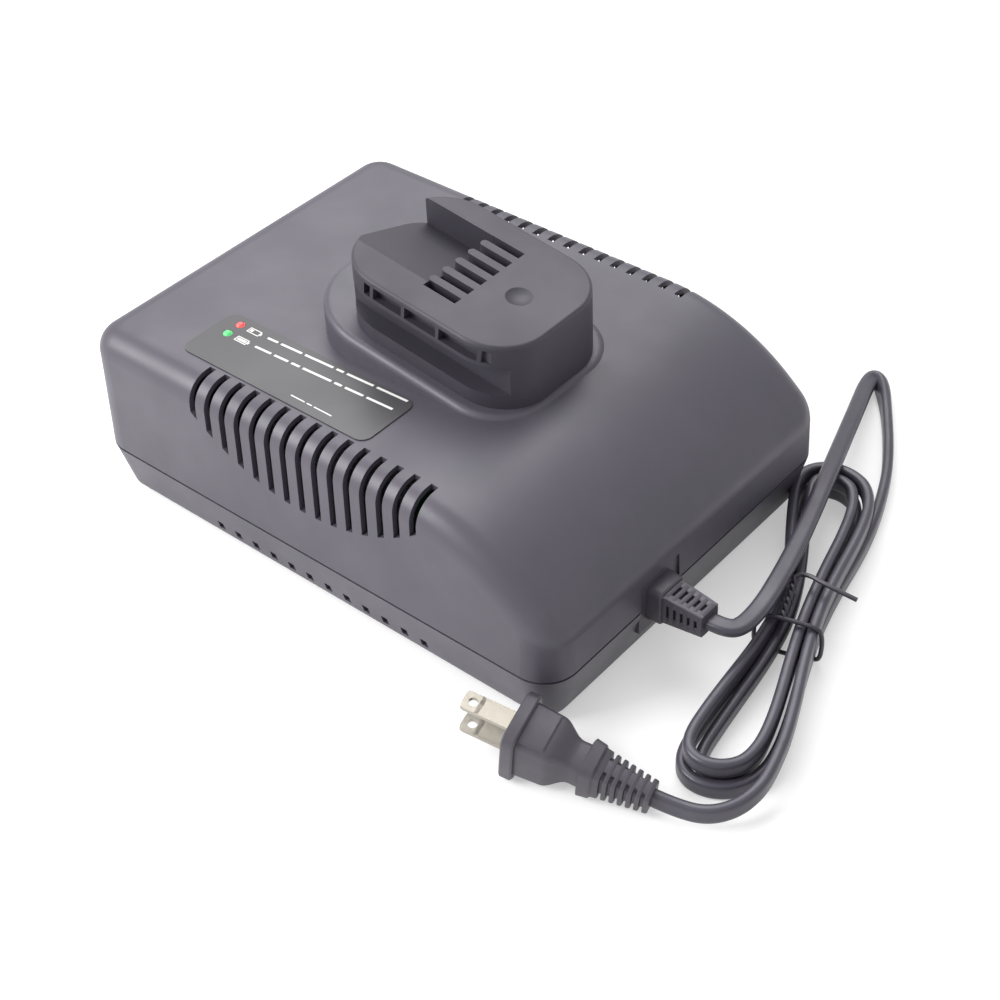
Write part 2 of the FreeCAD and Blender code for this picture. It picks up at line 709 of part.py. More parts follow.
recess_end_u = recess_end - dock_pivot
recess_body = new_body("recess_cutter")
recess_sketch = new_sketch(recess_body, "recess_section", "YZ_Plane")
corners = [(-recess_crease, dock_height), (recess_wall, dock_height - recess_depth),
           (recess_wall, dock_height + 5), (-recess_crease, dock_height + 5)]
edges = []
for (ay, az), (by, bz) in zip(corners, corners[1:] + corners[:1]):
    ends = (Vector(measured(ay).value, measured(az).value, 0), Vector(measured(by).value, measured(bz).value, 0))
    edges.append(recess_sketch.addGeometry(Part.LineSegment(*ends)))
for one, two in zip(edges, edges[1:] + edges[:1]):
    recess_sketch.addConstraint(Sketcher.Constraint("Coincident", one, 2, two, 1))
for index, (edge, (y, z)) in enumerate(zip(edges, corners)):
    placed_size(recess_sketch, "DistanceX", edge, 1, y, f"y{index}")
    placed_size(recess_sketch, "DistanceY", edge, 1, z, f"z{index}")
pad(recess_body, recess_sketch, "recess_pad", recess_end_u - back_u)
x, y, z = tilted_spot(back_u, 0, 0)
place(recess_body, x, y, z, Vector(0, 1, 0), dock_tilt)

slot_low = dock_hollow_height - 1
contact_slots = []
for index in range(int(contact_count.value)):
    centre = contact_pitch * (index - (contact_count.value - 1) / 2) + 0.4
    contact_slots.append(tilted_box(f"contact_slot{index}", recess_end_u - 0.5, contact_slot_end - dock_pivot,
                                    centre - contact_slot / 2, centre + contact_slot / 2,
                                    slot_low, dock_height + 1))
dock_hollow = tilted_box("dock_hollow", hollow_back, hollow_front, -dock_hollow_width / 2, dock_hollow_width / 2,
                         -2, dock_hollow_height)
dimple_ball_radius = (dimple_radius * dimple_radius + dimple_depth * dimple_depth) / (dimple_depth * 2)
dimple = doc.addObject("Part::Sphere", "dimple_ball")
bind(dimple, "Radius", dimple_ball_radius)
place(dimple, *tilted_spot(dimple_place - dock_pivot, 0, dock_height + dimple_ball_radius - dimple_depth))
dock_screw_holes = [tilted_cylinder(f"dock_screw_hole{i}", u, dock_screw_y * side, -1,
                                    screw_radius - 0.1, 5) for i, (u, side) in enumerate(DOCK_SCREWS)]
dock_cutters = fuse("dock_cutters", recess_body, dock_hollow, dimple, *rails, *contact_slots, *dock_screw_holes)
dock_cut = cut("dock_cut", dock_rounded, dock_cutters)

# The ribs between the contact slots reach into the recess with rounded ends
fins = []
fin_root = measured(2)
fin_width = contact_pitch - contact_slot
for index in range(int(contact_count.value) - 1):
    centre = contact_pitch * (index + 0.5 - (contact_count.value - 1) / 2) + 0.4
    fin_start = fin_reach - dock_pivot + fin_width / 2
    fins.append(tilted_box(f"fin{index}", fin_start, recess_end_u + fin_root, centre - fin_width / 2,
                           centre + fin_width / 2, slot_low, dock_height))
    fins.append(tilted_cylinder(f"fin_tip{index}", fin_start, centre, slot_low, fin_width / 2,
                                dock_height - slot_low))
battery_dock = fuse("battery_dock", dock_cut, *fins)

# Contact carrier: a block that fills the dock's hollow under the slots, with one blade to a slot
carrier_back = recess_end_u + fin_root + fit_gap
carrier_front = measured(hollow_front) - 6
carrier_side = dock_hollow_width / 2 - fit_gap
carrier_low = -1
contact_carrier_block = tilted_box("carrier_block", carrier_back, carrier_front, -carrier_side, carrier_side,
                                   carrier_low, dock_hollow_height - fit_gap)
carrier_slots = []
contacts = []
for index in range(int(contact_count.value)):
    centre = contact_pitch * (index - (contact_count.value - 1) / 2) + 0.4
    near, far = centre - contact_thickness / 2, centre + contact_thickness / 2
    blade_back = carrier_back + 1
    blade_top = dock_height - 3
    contacts.append(tilted_box(f"contact_blade{index}", blade_back, blade_back + contact_length, near, far,
                               carrier_low - 4, blade_top))
    carrier_slots.append(tilted_box(f"carrier_slot{index}", blade_back, blade_back + contact_length, near, far,
                                    carrier_low - 1, dock_hollow_height + 1))
contact_carrier = cut("contact_carrier", contact_carrier_block, compound("carrier_slots", carrier_slots))
dock_contacts = compound("dock_contacts", contacts)


def screw(name, x, y, z, length, direction=1, tilted=False):
    """A pan-head screw: head at the given point, shank along the direction."""
    shank_low = z if direction > 0 else z - length
    head_low = z - screw_head_height if direction > 0 else z
    maker = tilted_cylinder if tilted else cylinder
    shank = maker(name + "_shank", x, y, shank_low, screw_radius - 0.1, length)
    head = maker(name + "_head", x, y, head_low, screw_head_radius, screw_head_height)
    drive = maker(name + "_drive", x, y, head_low if direction > 0 else head_low + 1, 1, 1)
    return cut(name, fuse(name + "_blank", shank, head), drive)


dock_screws = compound("dock_screws", [
    screw(f"dock_screw{i}", measured(u), dock_screw_y * side, -dock_screw_seat, dock_screw_seat + 3, tilted=True)
    for i, (u, side) in enumerate(DOCK_SCREWS)])
case_screws = compound("case_screws", [
    screw(f"case_screw{i}", boss_x * sx, boss_y * sy, floor_top, seam_height - floor_top + 7)
    for i, (sx, sy) in enumerate(CORNERS)])

# Rubber feet under the corners
foot_x = half_length - base_taper - 22
foot_y = half_width - base_taper - 14
rubber_feet = compound("rubber_feet", [cylinder(f"foot{i}", foot_x * sx, foot_y * sy, 0, 6, foot_height)
                                       for i, (sx, sy) in enumerate(CORNERS)])

# Status label with two holes, over the lamps
label_plate = plate("label_plate", -label_back, -label_back + label_length, label_low_y, -label_inner_edge,
                    cover_top, cover_top + label_thickness, label_corner)
label_holes = [cylinder(f"label_hole_{name}", lamp_x, y, cover_top - 1, lamp_radius + fit_gap / 2, 3)
               for name, y in LAMPS]
status_label = cut("status_label", label_plate, compound("label_holes", label_holes))

# Lamps: round-topped light pipes that stand on the lamp board below the roof
lamp_board_drop = 5
lamp_board_top = cover_top - cover_wall - lamp_board_drop
for name, y in LAMPS:
    stem = cylinder(f"{name}_stem", lamp_x, y, lamp_board_top, lamp_radius,
                    cover_top + label_thickness - lamp_board_top)
    dome = doc.addObject("Part::Sphere", f"{name}_dome")
    bind(dome, "Radius", lamp_radius)
    place(dome, lamp_x, y, cover_top + label_thickness - 0.7)
    collar = cylinder(f"{name}_collar", lamp_x, y, lamp_board_top, lamp_radius + 0.6, lamp_board_drop - 1)
    fuse(name, stem, dome, collar)
lamp_board_plate = box("lamp_board_plate", lamp_x - 9, lamp_x + 9, green_lamp_y - 5, red_lamp_y + 5,
                       lamp_board_top - board_thickness, lamp_board_top)
lamp_board_pillars = [cylinder(f"lamp_board_pillar{sx}", lamp_x + 6 * sx, green_lamp_y + lamp_spacing / 2,
                               lamp_board_top, 1.6, lamp_board_drop) for sx in (-1, 1)]
lamp_board = fuse("lamp_board", lamp_board_plate, *lamp_board_pillars)

# Main board on its posts, with the parts that make the charging current
board_low = floor_top + post_height
board_top = board_low + board_thickness
board_plate = plate("board_plate", -board_length / 2, board_length / 2, -board_width / 2, board_width / 2,
                    board_low, board_top, 3)
board_holes = [cylinder(f"board_hole{i}", post_x * sx, post_y * sy, board_low - 1, screw_radius + fit_gap, 4)
               for i, (sx, sy) in enumerate(CORNERS)]
main_board = cut("main_board", board_plate, compound("board_holes", board_holes))
board_screws = compound("board_screws", [
    screw(f"board_screw{i}", post_x * sx, post_y * sy, board_top, post_height - 1, direction=-1)
    for i, (sx, sy) in enumerate(CORNERS)])

core_x, core_y = 22, 20
core_block = box("core_block", core_x - core_length / 2, core_x + core_length / 2,
                 core_y - core_width / 2, core_y + core_width / 2, board_top, board_top + core_height)
window_half = core_length / 2 - 7
core_window = box("core_window", core_x - window_half, core_x + window_half,
                  core_y - core_width, core_y + core_width, board_top + 7, board_top + core_height - 7)
core_leg = cylinder("core_leg", core_x, core_y, board_top + 6, 6, core_height - 12)
transformer_core = fuse("transformer_core", cut("core_yoke", core_block, core_window), core_leg)
winding_low = board_top + 7 + fit_gap
winding_high = board_top + core_height - 7 - fit_gap
winding_block = plate("winding_block", core_x - window_half + fit_gap, core_x + window_half - fit_gap,
                      core_y - winding_width / 2, core_y + winding_width / 2, winding_low, winding_high, 5)
transformer_winding = cut("transformer_winding", winding_block,
                          cylinder("winding_bore", core_x, core_y, winding_low - 1, 6 + fit_gap, core_height))

CANS = [(-18, 30), (-18, 8), (-40, 30)]
cans = []
for i, (x, y) in enumerate(CANS):
    can = cylinder(f"can{i}", x, y, board_top, can_radius, can_height)
    groove = doc.addObject("Part::Torus", f"can_groove{i}")
    bind(groove, "Radius1", can_radius + 0.4)
    bind(groove, "Radius2", Measure(0.9, "0.9"))
    place(groove, x, y, board_top + 3)
    cans.append(cut(f"can_body{i}", can, groove))
capacitors = compound("capacitors", cans)

sink_x, sink_y = -10, -36
sink_low = board_top
sink_plate = box("sink_plate", sink_x - fin_plate_length / 2, sink_x + fin_plate_length / 2,
                 sink_y, sink_y + 3, sink_low, sink_low + fin_plate_height)
sink_fins = []
fin_root = measured(2)
for index in range(int(cooling_fin_count.value)):
    x = sink_x + (fin_plate_length - 1.6) * (index / (cooling_fin_count.value - 1) - 0.5)
    sink_fins.append(box(f"sink_fin{index}", x - 0.8, x + 0.8, sink_y - cooling_fin_depth, measured(sink_y) + 1,
                         sink_low, sink_low + fin_plate_height))
heat_sink = fuse("heat_sink", sink_plate, *sink_fins)
transistors = []
for index, x in enumerate((-26, -2)):
    case = box(f"transistor_case{index}", x - 5, x + 5, sink_y + 3, sink_y + 7.5, board_top + 8, board_top + 18)
    leads = [box(f"transistor_lead{index}{n}", x + 2.5 * n - 0.4, x + 2.5 * n + 0.4, sink_y + 5, sink_y + 5.6,
                 board_top, board_top + 8.5) for n in (-1, 0, 1)]
    transistors.append(fuse(f"transistor{index}", case, *leads))
power_transistors = compound("power_transistors", transistors)
fuse_x, fuse_y = 58, -30
fuse_low = board_top
fuse_tube = cylinder("fuse_tube", fuse_x - 10, fuse_y, fuse_low + 5, 2.6, 20, along="x")
fuse_clips = [box(f"fuse_clip{n}", fuse_x + 8 * n - 2, fuse_x + 8 * n + 2, fuse_y - 3.4, fuse_y + 3.4,
                  fuse_low, fuse_low + 6) for n in (-1, 1)]
mains_fuse = fuse("mains_fuse", fuse_tube, *fuse_clips)
choke = doc.addObject("Part::Torus", "filter_choke")
bind(choke, "Radius1", Measure(8, "8"))
bind(choke, "Radius2", Measure(4.5, "4.5"))
place(choke, 58, -8, board_top + 4.5)
terminal_block = box("terminal_block", 62, 74, 10, 34, board_top, board_top + 11)

# Cord gland: a plate held in the notch between the two shells, a collar and a ribbed relief
gland_clear = fit_gap
plate_back = half_length - 7
plate_front = half_length - 1.2


gland_plate_body = lofted("gland_plate", "YZ_Plane", [
    (plate_back, gland_near + gland_clear, gland_far - gland_clear,
     gland_low + gland_clear, gland_high - gland_clear, 2),
    (plate_front, gland_near + gland_clear, gland_far - gland_clear,
     gland_low + gland_clear, gland_high - gland_clear, 2)])[0]
relief_start = plate_front - 1
relief_end = half_length + gland_reach
relief_body = lofted("gland_relief", "YZ_Plane", [
    (relief_start, -gland_place - 7.2, -gland_place + 7.2, seam_height - 7.2, seam_height + 7.2, 3),
    (half_length + 4, -gland_place - 6.6, -gland_place + 6.6, seam_height - 6.6, seam_height + 6.6, 3),
    (relief_end, -gland_place - 4.4, -gland_place + 4.4, seam_height - 3.9, seam_height + 3.9, 2.4)])[0]
gland_cuts = []
for index in range(4):
    x = half_length + 5.2 + gland_rib_pitch * (index % 4)
    for side in (-1, 1):
        y0, y1 = side_span(side, 2.6, 12)
        gland_cuts.append(box(f"gland_gap{index}{side}", x, x + gland_rib_gap,
                              -gland_place + y0, -gland_place + y1,
                              seam_height - 10, seam_height + 10))
cord_gland = cut("cord_gland", fuse("gland_blank", gland_plate_body, relief_body),
                 compound("gland_gaps", gland_cuts))


# Cord: straight runs joined by arcs as large as their runs allow
def bent_wire(points):
    """Straight runs joined by tangent arcs, the arcs' radii, and the length of the whole."""
    corners = [Vector(*point) for point in points]
    edges = []
    radii = []
    last = corners[0]
    for before, corner, after in zip(corners, corners[1:], corners[2:]):
        into = (corner - before).normalize()
        out = (after - corner).normalize()
        turn = into.getAngle(out)
        reach = 0.45 * min(before.distanceToPoint(corner), corner.distanceToPoint(after))
        radii.append(reach / math.tan(turn / 2))
        start = corner - into * reach
        end = corner + out * reach
        inward = (out - into).normalize()
        depth = radii[-1] / math.cos(turn / 2) - radii[-1]
        edges.append(Part.LineSegment(last, start).toShape())
        edges.append(Part.Arc(start, corner + inward * depth, end).toShape())
        last = end
    edges.append(Part.LineSegment(last, corners[-1]).toShape())
    return Part.Wire(edges), radii


def swept(name, wire, diameter, note=None):
    """A round tube along a wire, as a feature of its own."""
    start = wire.Edges[0]
    first = start.valueAt(start.FirstParameter)
    heading = start.tangentAt(start.FirstParameter)
    ring = Part.Wire(Part.makeCircle(diameter / 2, first, heading))
    shape = wire.makePipeShell([ring], True, False)
    thing = doc.addObject("Part::Feature", name)
    thing.Shape = shape
    expected = math.pi * diameter ** 2 / 4 * wire.Length
    print(f"{name}: length {wire.Length:.1f}, volume {shape.Volume:.0f} of {expected:.0f}")
    return thing


gland_exit = (relief_end.value, -gland_place.value, seam_height.value)
lead_middle = [(124.6, -19, 22), (130.6, -14, 20.8), (131.4, -5, 19.2), (127.5, 4, 18), (121.5, 17, 16.8),
               (115.5, 33, 16), (108.5, 54, 15.8), (100.5, 77.5, 15.6), (94.8, 94, 9.4), (89, 110, 4.4),
               (83.2, 123, 2.4), (79.8, 132, 2.2), (82.6, 139.5, 2.2), (89, 139, 2.2), (93.8, 130.5, 2.2), (99.8, 119.5, 2.2),
               (107.5, 105.5, 2.4), (114.6, 96, 2.7), (121.5, 86.6, 3)]

# Hank: an hourglass of loops drawn in at the waist, two layers deep, the loops spiralling in and out
waist = Vector(130.5, 10, 0)
along = Vector(-30, 95, 0).normalize()
across = Vector(along.y, -along.x, 0)
loop_step = 5.2
layer_low = 3
layer_step = 5
lobe_half = 14.5
waist_half = 9.8
waist_step = 0.94
lobe_end = 74
lobe_middle = lobe_end - lobe_half
tail_station = 45
turns = 3
nodes_per_turn = 8
last_node = turns * nodes_per_turn + 2
turning_node = turns * nodes_per_turn // 2
# The ring of nodes in one loop: (share of the half width or waist, place along, heading)
LOOP = [("lobe", 1, lobe_middle, (0, -1)), ("waist", 1, 0, (0, -1)), ("lobe", 1, -lobe_middle, (0, -1)),
        ("end", 0, -1, (-1, 0)), ("lobe", -1, -lobe_middle, (0, 1)), ("waist", -1, 0, (0, 1)),
        ("lobe", -1, lobe_middle, (0, 1)), ("end", 0, 1, (1, 0))]


def hank_node(number):
    """Place and heading of one node of the hank's line."""
    kind, side, station, heading = LOOP[number % nodes_per_turn]
    inward = loop_step * min(number, turning_node, last_node - number) / nodes_per_turn
    if kind == "lobe":
        u, v = side * (lobe_half - inward), station
    elif kind == "waist":
        u, v = side * (waist_half - inward * waist_step), 0
    else:
        u, v = 0, station * (lobe_end - inward)
    if number == last_node:
        v = -tail_station
    climb = min(max((number - turning_node) / 2, 0), 1)
    spot = waist + across * u + along * v + Vector(0, 0, layer_low + layer_step * climb)
    direction = across * heading[0] + along * heading[1]
    if 0 < climb < 1:
        direction = direction * (2 * lobe_middle) + Vector(0, 0, layer_step * 1.5)
    return spot, direction.normalize()


def biarc(start, start_heading, end, end_heading):
    """Two arcs in space that join two points and leave and meet them along their headings."""
    chord = end - start
    both = start_heading + end_heading
    a = 2 * (1 - start_heading.dot(end_heading))
    b = 2 * chord.dot(both)
    c = -chord.dot(chord)
    reach = -c / b if abs(a) < 1e-9 else (-b + math.sqrt(b * b - 4 * a * c)) / (2 * a)
    first = start + start_heading * reach
    second = end - end_heading * reach
    joint = (first + second) / 2

    def arc(p, heading, q):
        span = q - p
        along_heading = span.dot(heading)
        side = span - heading * along_heading
        if side.Length < 1e-6:
            return Part.LineSegment(p, q).toShape()
        radius = span.dot(span) / (2 * side.Length)
        centre = p + side.normalize() * radius
        mid = (p + q) / 2 - centre
        big = along_heading < 0
        bow = mid.normalize() * (-radius if big else radius)
        return Part.Arc(p, centre + bow, q).toShape()

    return [arc(start, start_heading, joint), arc(end, end_heading * -1, joint)]


nodes = [hank_node(number) for number in range(last_node + 1)]
hank_edges = []
straight = cord_thickness.value
first_spot, first_heading = nodes[0]
hank_start = first_spot - first_heading * straight
hank_edges.append(Part.LineSegment(hank_start, first_spot).toShape())
for (p, p_heading), (q, q_heading) in zip(nodes, nodes[1:]):
    hank_edges.extend(biarc(p, p_heading, q, q_heading))
last_spot, last_heading = nodes[-1]
hank_end = last_spot + last_heading * straight
hank_edges.append(Part.LineSegment(last_spot, hank_end).toShape())
hank_wire = Part.Wire(Part.__sortEdges__(hank_edges))
cord_hank = swept("cord_hank", hank_wire, cord_thickness.value)
hank_points = hank_wire.discretize(1600)
hank_step = hank_wire.Length / (len(hank_points) - 1)
apart = int(3 * cord_thickness.value / hank_step)
nearest = min(p.distanceToPoint(q) for i, p in enumerate(hank_points) for q in hank_points[i + apart:])
print(f"cord_hank: least gap to itself {nearest - cord_thickness.value:.2f}")

lead_points = [gland_exit] + lead_middle + [tuple(hank_start)]
lead_wire, lead_radii = bent_wire(lead_points)
print("cord_lead: arc radii", [round(radius, 1) for radius in lead_radii])
cord_lead = swept("cord_lead", lead_wire, cord_thickness.value)

# Plug: a flat-sided grip standing on its narrow edge, with a ribbed relief; drawn along X, then turned
plug_middle = plug_height / 2
PLUG_SPOT = (97.6, -87)
plug_sections = [
    ("plug_flange", [(0, 10.75, 12.5, 4), (4.5, 10.75, 12.5, 4)]),
    ("plug_grip", [(4, 9.8, 11.8, 4), (24.5, 8.2, 10.2, 4)]),
    ("plug_collar", [(24, 8.6, 10, 3.5), (31, 6.8, 8.2, 3.5)]),
    ("plug_relief", [(30.5, 6, 6.6, 3), (48, 3.6, 3.7, 2.4)]),
]
plug_lofts = [lofted(name, "YZ_Plane", [(x, -half_y, half_y, plug_middle - half_z, plug_middle + half_z,
                                         corner) for x, half_y, half_z, corner in stations])[0]
              for name, stations in plug_sections]
plug_cuts = []
for side in (-1, 1):
    y0, y1 = side_span(side, 8.3, 14)
    plug_cuts.append(box(f"grip_recess{side}", 7.5, 20.5, y0, y1, 5.5, 19.5))
for index in range(5):
    x = 33.2 + 2.9 * index
    for side in (-1, 1):
        y0, y1 = side_span(side, 2.6, 12)
        plug_cuts.append(box(f"relief_gap{index}{side}", x, x + 1.3, y0, y1, 3, 22))
blade_holes = []
blades = []
for side in (-1, 1):
    z = plug_middle + blade_spacing / 2 * side
    flat = box(f"blade_flat{side}", -blade_length, 6, -blade_width / 2, blade_width / 2,
               z - blade_thickness / 2, z + blade_thickness / 2)
    hole = cylinder(f"blade_bore{side}", 3.5 - blade_length, 0, z - 2, blade_hole / 2, 4)
    blades.append(cut(f"blade{side}", flat, hole))
    blade_holes.append(box(f"blade_pocket{side}", -1, 6, -blade_width / 2, blade_width / 2,
                           z - blade_thickness / 2, z + blade_thickness / 2))
plug_body = cut("plug_body", fuse("plug_blank", *plug_lofts), compound("plug_gaps", plug_cuts + blade_holes))
plug_blades = compound("plug_blades", blades)
for thing in (plug_body, plug_blades):
    place(thing, *PLUG_SPOT, 0, Vector(0, 0, 1), plug_yaw)
plug_axis = Vector(math.cos(math.radians(plug_yaw.value)), math.sin(math.radians(plug_yaw.value)), 0)
relief_tip = Vector(*PLUG_SPOT, plug_middle.value) + plug_axis * plug_length.value
tail_points = [tuple(hank_end), tuple(hank_end + last_heading * 5.5), (164.3, -47, 8), (165.2, -55, 8.8),
               (164, -63, 10.6), (158.6, -71.4, 12.3), tuple(relief_tip + plug_axis * 7), tuple(relief_tip)]
tail_wire, tail_radii = bent_wire(tail_points)
print("cord_tail: arc radii", [round(radius, 1) for radius in tail_radii])
cord_tail = swept("cord_tail", tail_wire, cord_thickness.value)


# Twist tie: a flat band round the waist of the hank and a twisted stem that lies over the loops
def across_waist(u, v, z):
    return waist + across * u + along * v + Vector(0, 0, z)


def band_section(half_u, low, high, corner):
    """A rounded rectangle standing across the hank at the waist."""
    corners = [(-half_u, low), (half_u, low), (half_u, high), (-half_u, high)]
    wire = Part.makePolygon([across_waist(u, -1.6, z) for u, z in corners + corners[:1]])
    solid = Part.Face(wire).extrude(along * 3.2)
    upright = []
    for edge in solid.Edges:
        heading = (edge.valueAt(edge.LastParameter) - edge.valueAt(edge.FirstParameter)).normalize()
        if abs(heading.dot(along)) > 0.999:
            upright.append(edge)
    return solid.makeFillet(corner, upright)


hank_top = layer_low + layer_step + straight / 2
band_half = waist_half + straight / 2
tie_ring = band_section(band_half + 1, 0.1, hank_top + 0.8, 3).cut(
    band_section(band_half + 0.4, layer_low - straight / 2 - 0.2, hank_top + 0.1, 2.4))
stem_start = across_waist(-7, 0, hank_top + 1.6)
stem_end = across_waist(-8, 21, hank_top + 1.7)
stem_way = (stem_end - stem_start).normalize()
stem_side = Vector(0, 0, 1).cross(stem_way).normalize()
stem_up = stem_way.cross(stem_side)
sections = []
for index in range(9):
    centre = stem_start + (stem_end - stem_start) * (index / 8)
    turn = math.radians(60 * index)
    wide = stem_side * math.cos(turn) + stem_up * math.sin(turn)
    thin = stem_up * math.cos(turn) - stem_side * math.sin(turn)
    ring = [centre + wide * 1.3 * a + thin * 0.5 * b for a, b in ((-1, -1), (1, -1), (1, 1), (-1, 1), (-1, -1))]
    sections.append(Part.makePolygon(ring))
tie_stem = Part.makeLoft(sections, True, True)
twist_tie = doc.addObject("Part::Feature", "twist_tie")
twist_tie.Shape = tie_ring.fuse(tie_stem)

NODES = ["lower_case", "upper_cover", "battery_dock", "contact_carrier", "dock_contacts", "dock_screws",
         "status_label", "red_lamp", "green_lamp", "lamp_board", "main_board", "board_screws",
         "transformer_core", "transformer_winding", "capacitors", "heat_sink", "power_transistors",
         "mains_fuse", "filter_choke", "terminal_block", "case_screws", "rubber_feet", "cord_gland",
         "cord_lead", "cord_hank", "cord_tail", "plug_body", "plug_blades", "twist_tie"]

doc.recompute()
broken = [thing.Name for thing in doc.Objects if "Invalid" in thing.State or "Error" in thing.State]
for name in NODES:
    shape = doc.getObject(name).Shape
    if shape.isNull() or not shape.isValid():
        broken.append(name)
if broken:
    raise SystemExit("not built: " + ", ".join(broken))
os.makedirs("parts", exist_ok=True)
for name in NODES:
    doc.getObject(name).Label = name
    doc.getObject(name).Shape.exportStep(f"parts/{name}.step")
print(f"wrote {len(NODES)} parts")
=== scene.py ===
# %% [markdown]
# # A power tool battery charger
# The object is a flat moulded case with a battery dock on its roof, and a mains cord that is tied in a
# hank beside it. The solid model brings every rigid piece in its right place and size. This lesson
# gives those pieces their finishes, and makes the soft cord, the tie and the printed label anew.

# %% Load the solid model
import math

import bmesh
import bpy
from mathutils import Matrix, Vector


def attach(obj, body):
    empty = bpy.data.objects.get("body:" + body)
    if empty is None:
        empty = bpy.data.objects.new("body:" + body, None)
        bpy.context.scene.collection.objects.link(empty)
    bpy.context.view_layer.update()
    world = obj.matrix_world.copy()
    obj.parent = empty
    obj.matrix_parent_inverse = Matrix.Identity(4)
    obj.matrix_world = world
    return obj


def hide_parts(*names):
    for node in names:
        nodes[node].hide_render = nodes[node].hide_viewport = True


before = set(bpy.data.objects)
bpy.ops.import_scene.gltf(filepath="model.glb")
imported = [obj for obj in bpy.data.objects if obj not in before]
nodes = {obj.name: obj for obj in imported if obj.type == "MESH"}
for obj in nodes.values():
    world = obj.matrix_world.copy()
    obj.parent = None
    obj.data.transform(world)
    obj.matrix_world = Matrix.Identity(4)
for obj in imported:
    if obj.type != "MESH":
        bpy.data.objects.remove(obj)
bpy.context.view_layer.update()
scene = bpy.context.scene
scene.view_settings.view_transform = "Standard"
MM = 0.001
print(len(nodes), "solid pieces loaded")

# %% [markdown]
# ## The camera
# The photograph was taken from above the cord's end of the case, a little to the label's side, with a
# slightly turned camera. The place and the lens below were fitted to the straight edges of the case, so
# the render can be laid over the photograph.

# %% Set the camera
CAMERA_PLACE = Vector((349.1, -371.5, 435.7)) * MM
AZIMUTH = math.radians(41.67)
ELEVATION = math.radians(40.90)
ROLL = math.radians(-2.81)
FOCAL_PIXELS = 1918.5
PHOTO_PIXELS = 1000
SENSOR = 36.0

backward = Vector((math.sin(AZIMUTH) * math.cos(ELEVATION), -math.cos(AZIMUTH) * math.cos(ELEVATION),
                   math.sin(ELEVATION)))
level_right = Vector((0, 0, 1)).cross(backward).normalized()
level_up = backward.cross(level_right)
right = level_right * math.cos(ROLL) + level_up * math.sin(ROLL)
up = backward.cross(right)

camera_data = bpy.data.cameras.new("camera")
camera_data.sensor_width = SENSOR
camera_data.lens = FOCAL_PIXELS / PHOTO_PIXELS * SENSOR
camera_data.clip_start = 0.01
camera = bpy.data.objects.new("camera", camera_data)
camera.matrix_world = Matrix.Translation(CAMERA_PLACE) @ Matrix((right, up, backward)).transposed().to_4x4()
scene.collection.objects.link(camera)
scene.camera = camera
print("lens", round(camera_data.lens, 2), "mm")

# %% [markdown]
# ## Colours and nodes
# Screen colours are written as hex values, but the renderer works in linear light. One function turns
# the first into the second. A second small function adds a node, sets it and links it.

# %% Two helpers for materials
def linear(colour):
    """A hex screen colour as linear red, green, blue and alpha."""
    parts = [int(colour[i:i + 2], 16) / 255 for i in (1, 3, 5)]
    return [part / 12.92 if part <= 0.04045 else ((part + 0.055) / 1.055) ** 2.4 for part in parts] + [1.0]


def add(tree, kind, settings=None, **inputs):
    """Add a node with its settings; each input is a value or another node's output."""
    node = tree.nodes.new(kind)
    for name, value in (settings or {}).items():
        setattr(node, name, value)
    for name, value in inputs.items():
        socket = node.inputs[int(name[1:])] if name[0] == "i" and name[1:].isdigit() else node.inputs[name]
        if isinstance(value, bpy.types.NodeSocket):
            tree.links.new(value, socket)
        else:
            socket.default_value = value
    return node


def new_material(name):
    """A node material with nothing in its tree, and that tree."""
    material = bpy.data.materials.new(name)
    material.use_nodes = True
    material.node_tree.nodes.clear()
    return material, material.node_tree


# %% [markdown]
# ## Moulded plastic
# The case is charcoal ABS from a spark-eroded mould. That texture is a fine, even grain, which scatters
# the light into a soft satin. Its colour is nearly flat, with faint clouds where hands have rubbed it.
# The grain of the real mould is about 0.1 mm; it is drawn at 0.7 mm so that it still shows in a picture
# of the whole charger.

# %% Moulded ABS
def moulded_plastic(name, colour, rubbed, rough, grain_mm=0.7, grain_depth_mm=0.05, cloud_mm=35):
    """Textured plastic: a base colour that drifts to a rubbed one, under a fine grain."""
    material, tree = new_material(name)
    spot = add(tree, "ShaderNodeTexCoord").outputs["Object"]
    clouds = add(tree, "ShaderNodeTexNoise", Vector=spot, Scale=1 / (cloud_mm * MM), Detail=3.0, Roughness=0.6)
    share = add(tree, "ShaderNodeMapRange", i0=clouds.outputs["Fac"], i1=0.38, i2=0.68, i3=0.0, i4=1.0)
    tone = add(tree, "ShaderNodeMix", {"data_type": "RGBA"}, i0=share.outputs[0],
               i6=linear(colour), i7=linear(rubbed))
    grain = add(tree, "ShaderNodeTexNoise", Vector=spot, Scale=1 / (grain_mm * MM), Detail=4.0, Roughness=0.65)
    gloss = add(tree, "ShaderNodeMapRange", i0=clouds.outputs["Fac"], i1=0.3, i2=0.7,
                i3=rough + 0.05, i4=rough - 0.05)
    bump = add(tree, "ShaderNodeBump", Height=grain.outputs["Fac"], Strength=0.5,
               Distance=grain_depth_mm * MM)
    shader = add(tree, "ShaderNodeBsdfPrincipled", Roughness=gloss.outputs[0], Normal=bump.outputs["Normal"],
                 IOR=1.53, **{"Base Color": tone.outputs[2]})
    add(tree, "ShaderNodeOutputMaterial", Surface=shader.outputs["BSDF"])
    return material


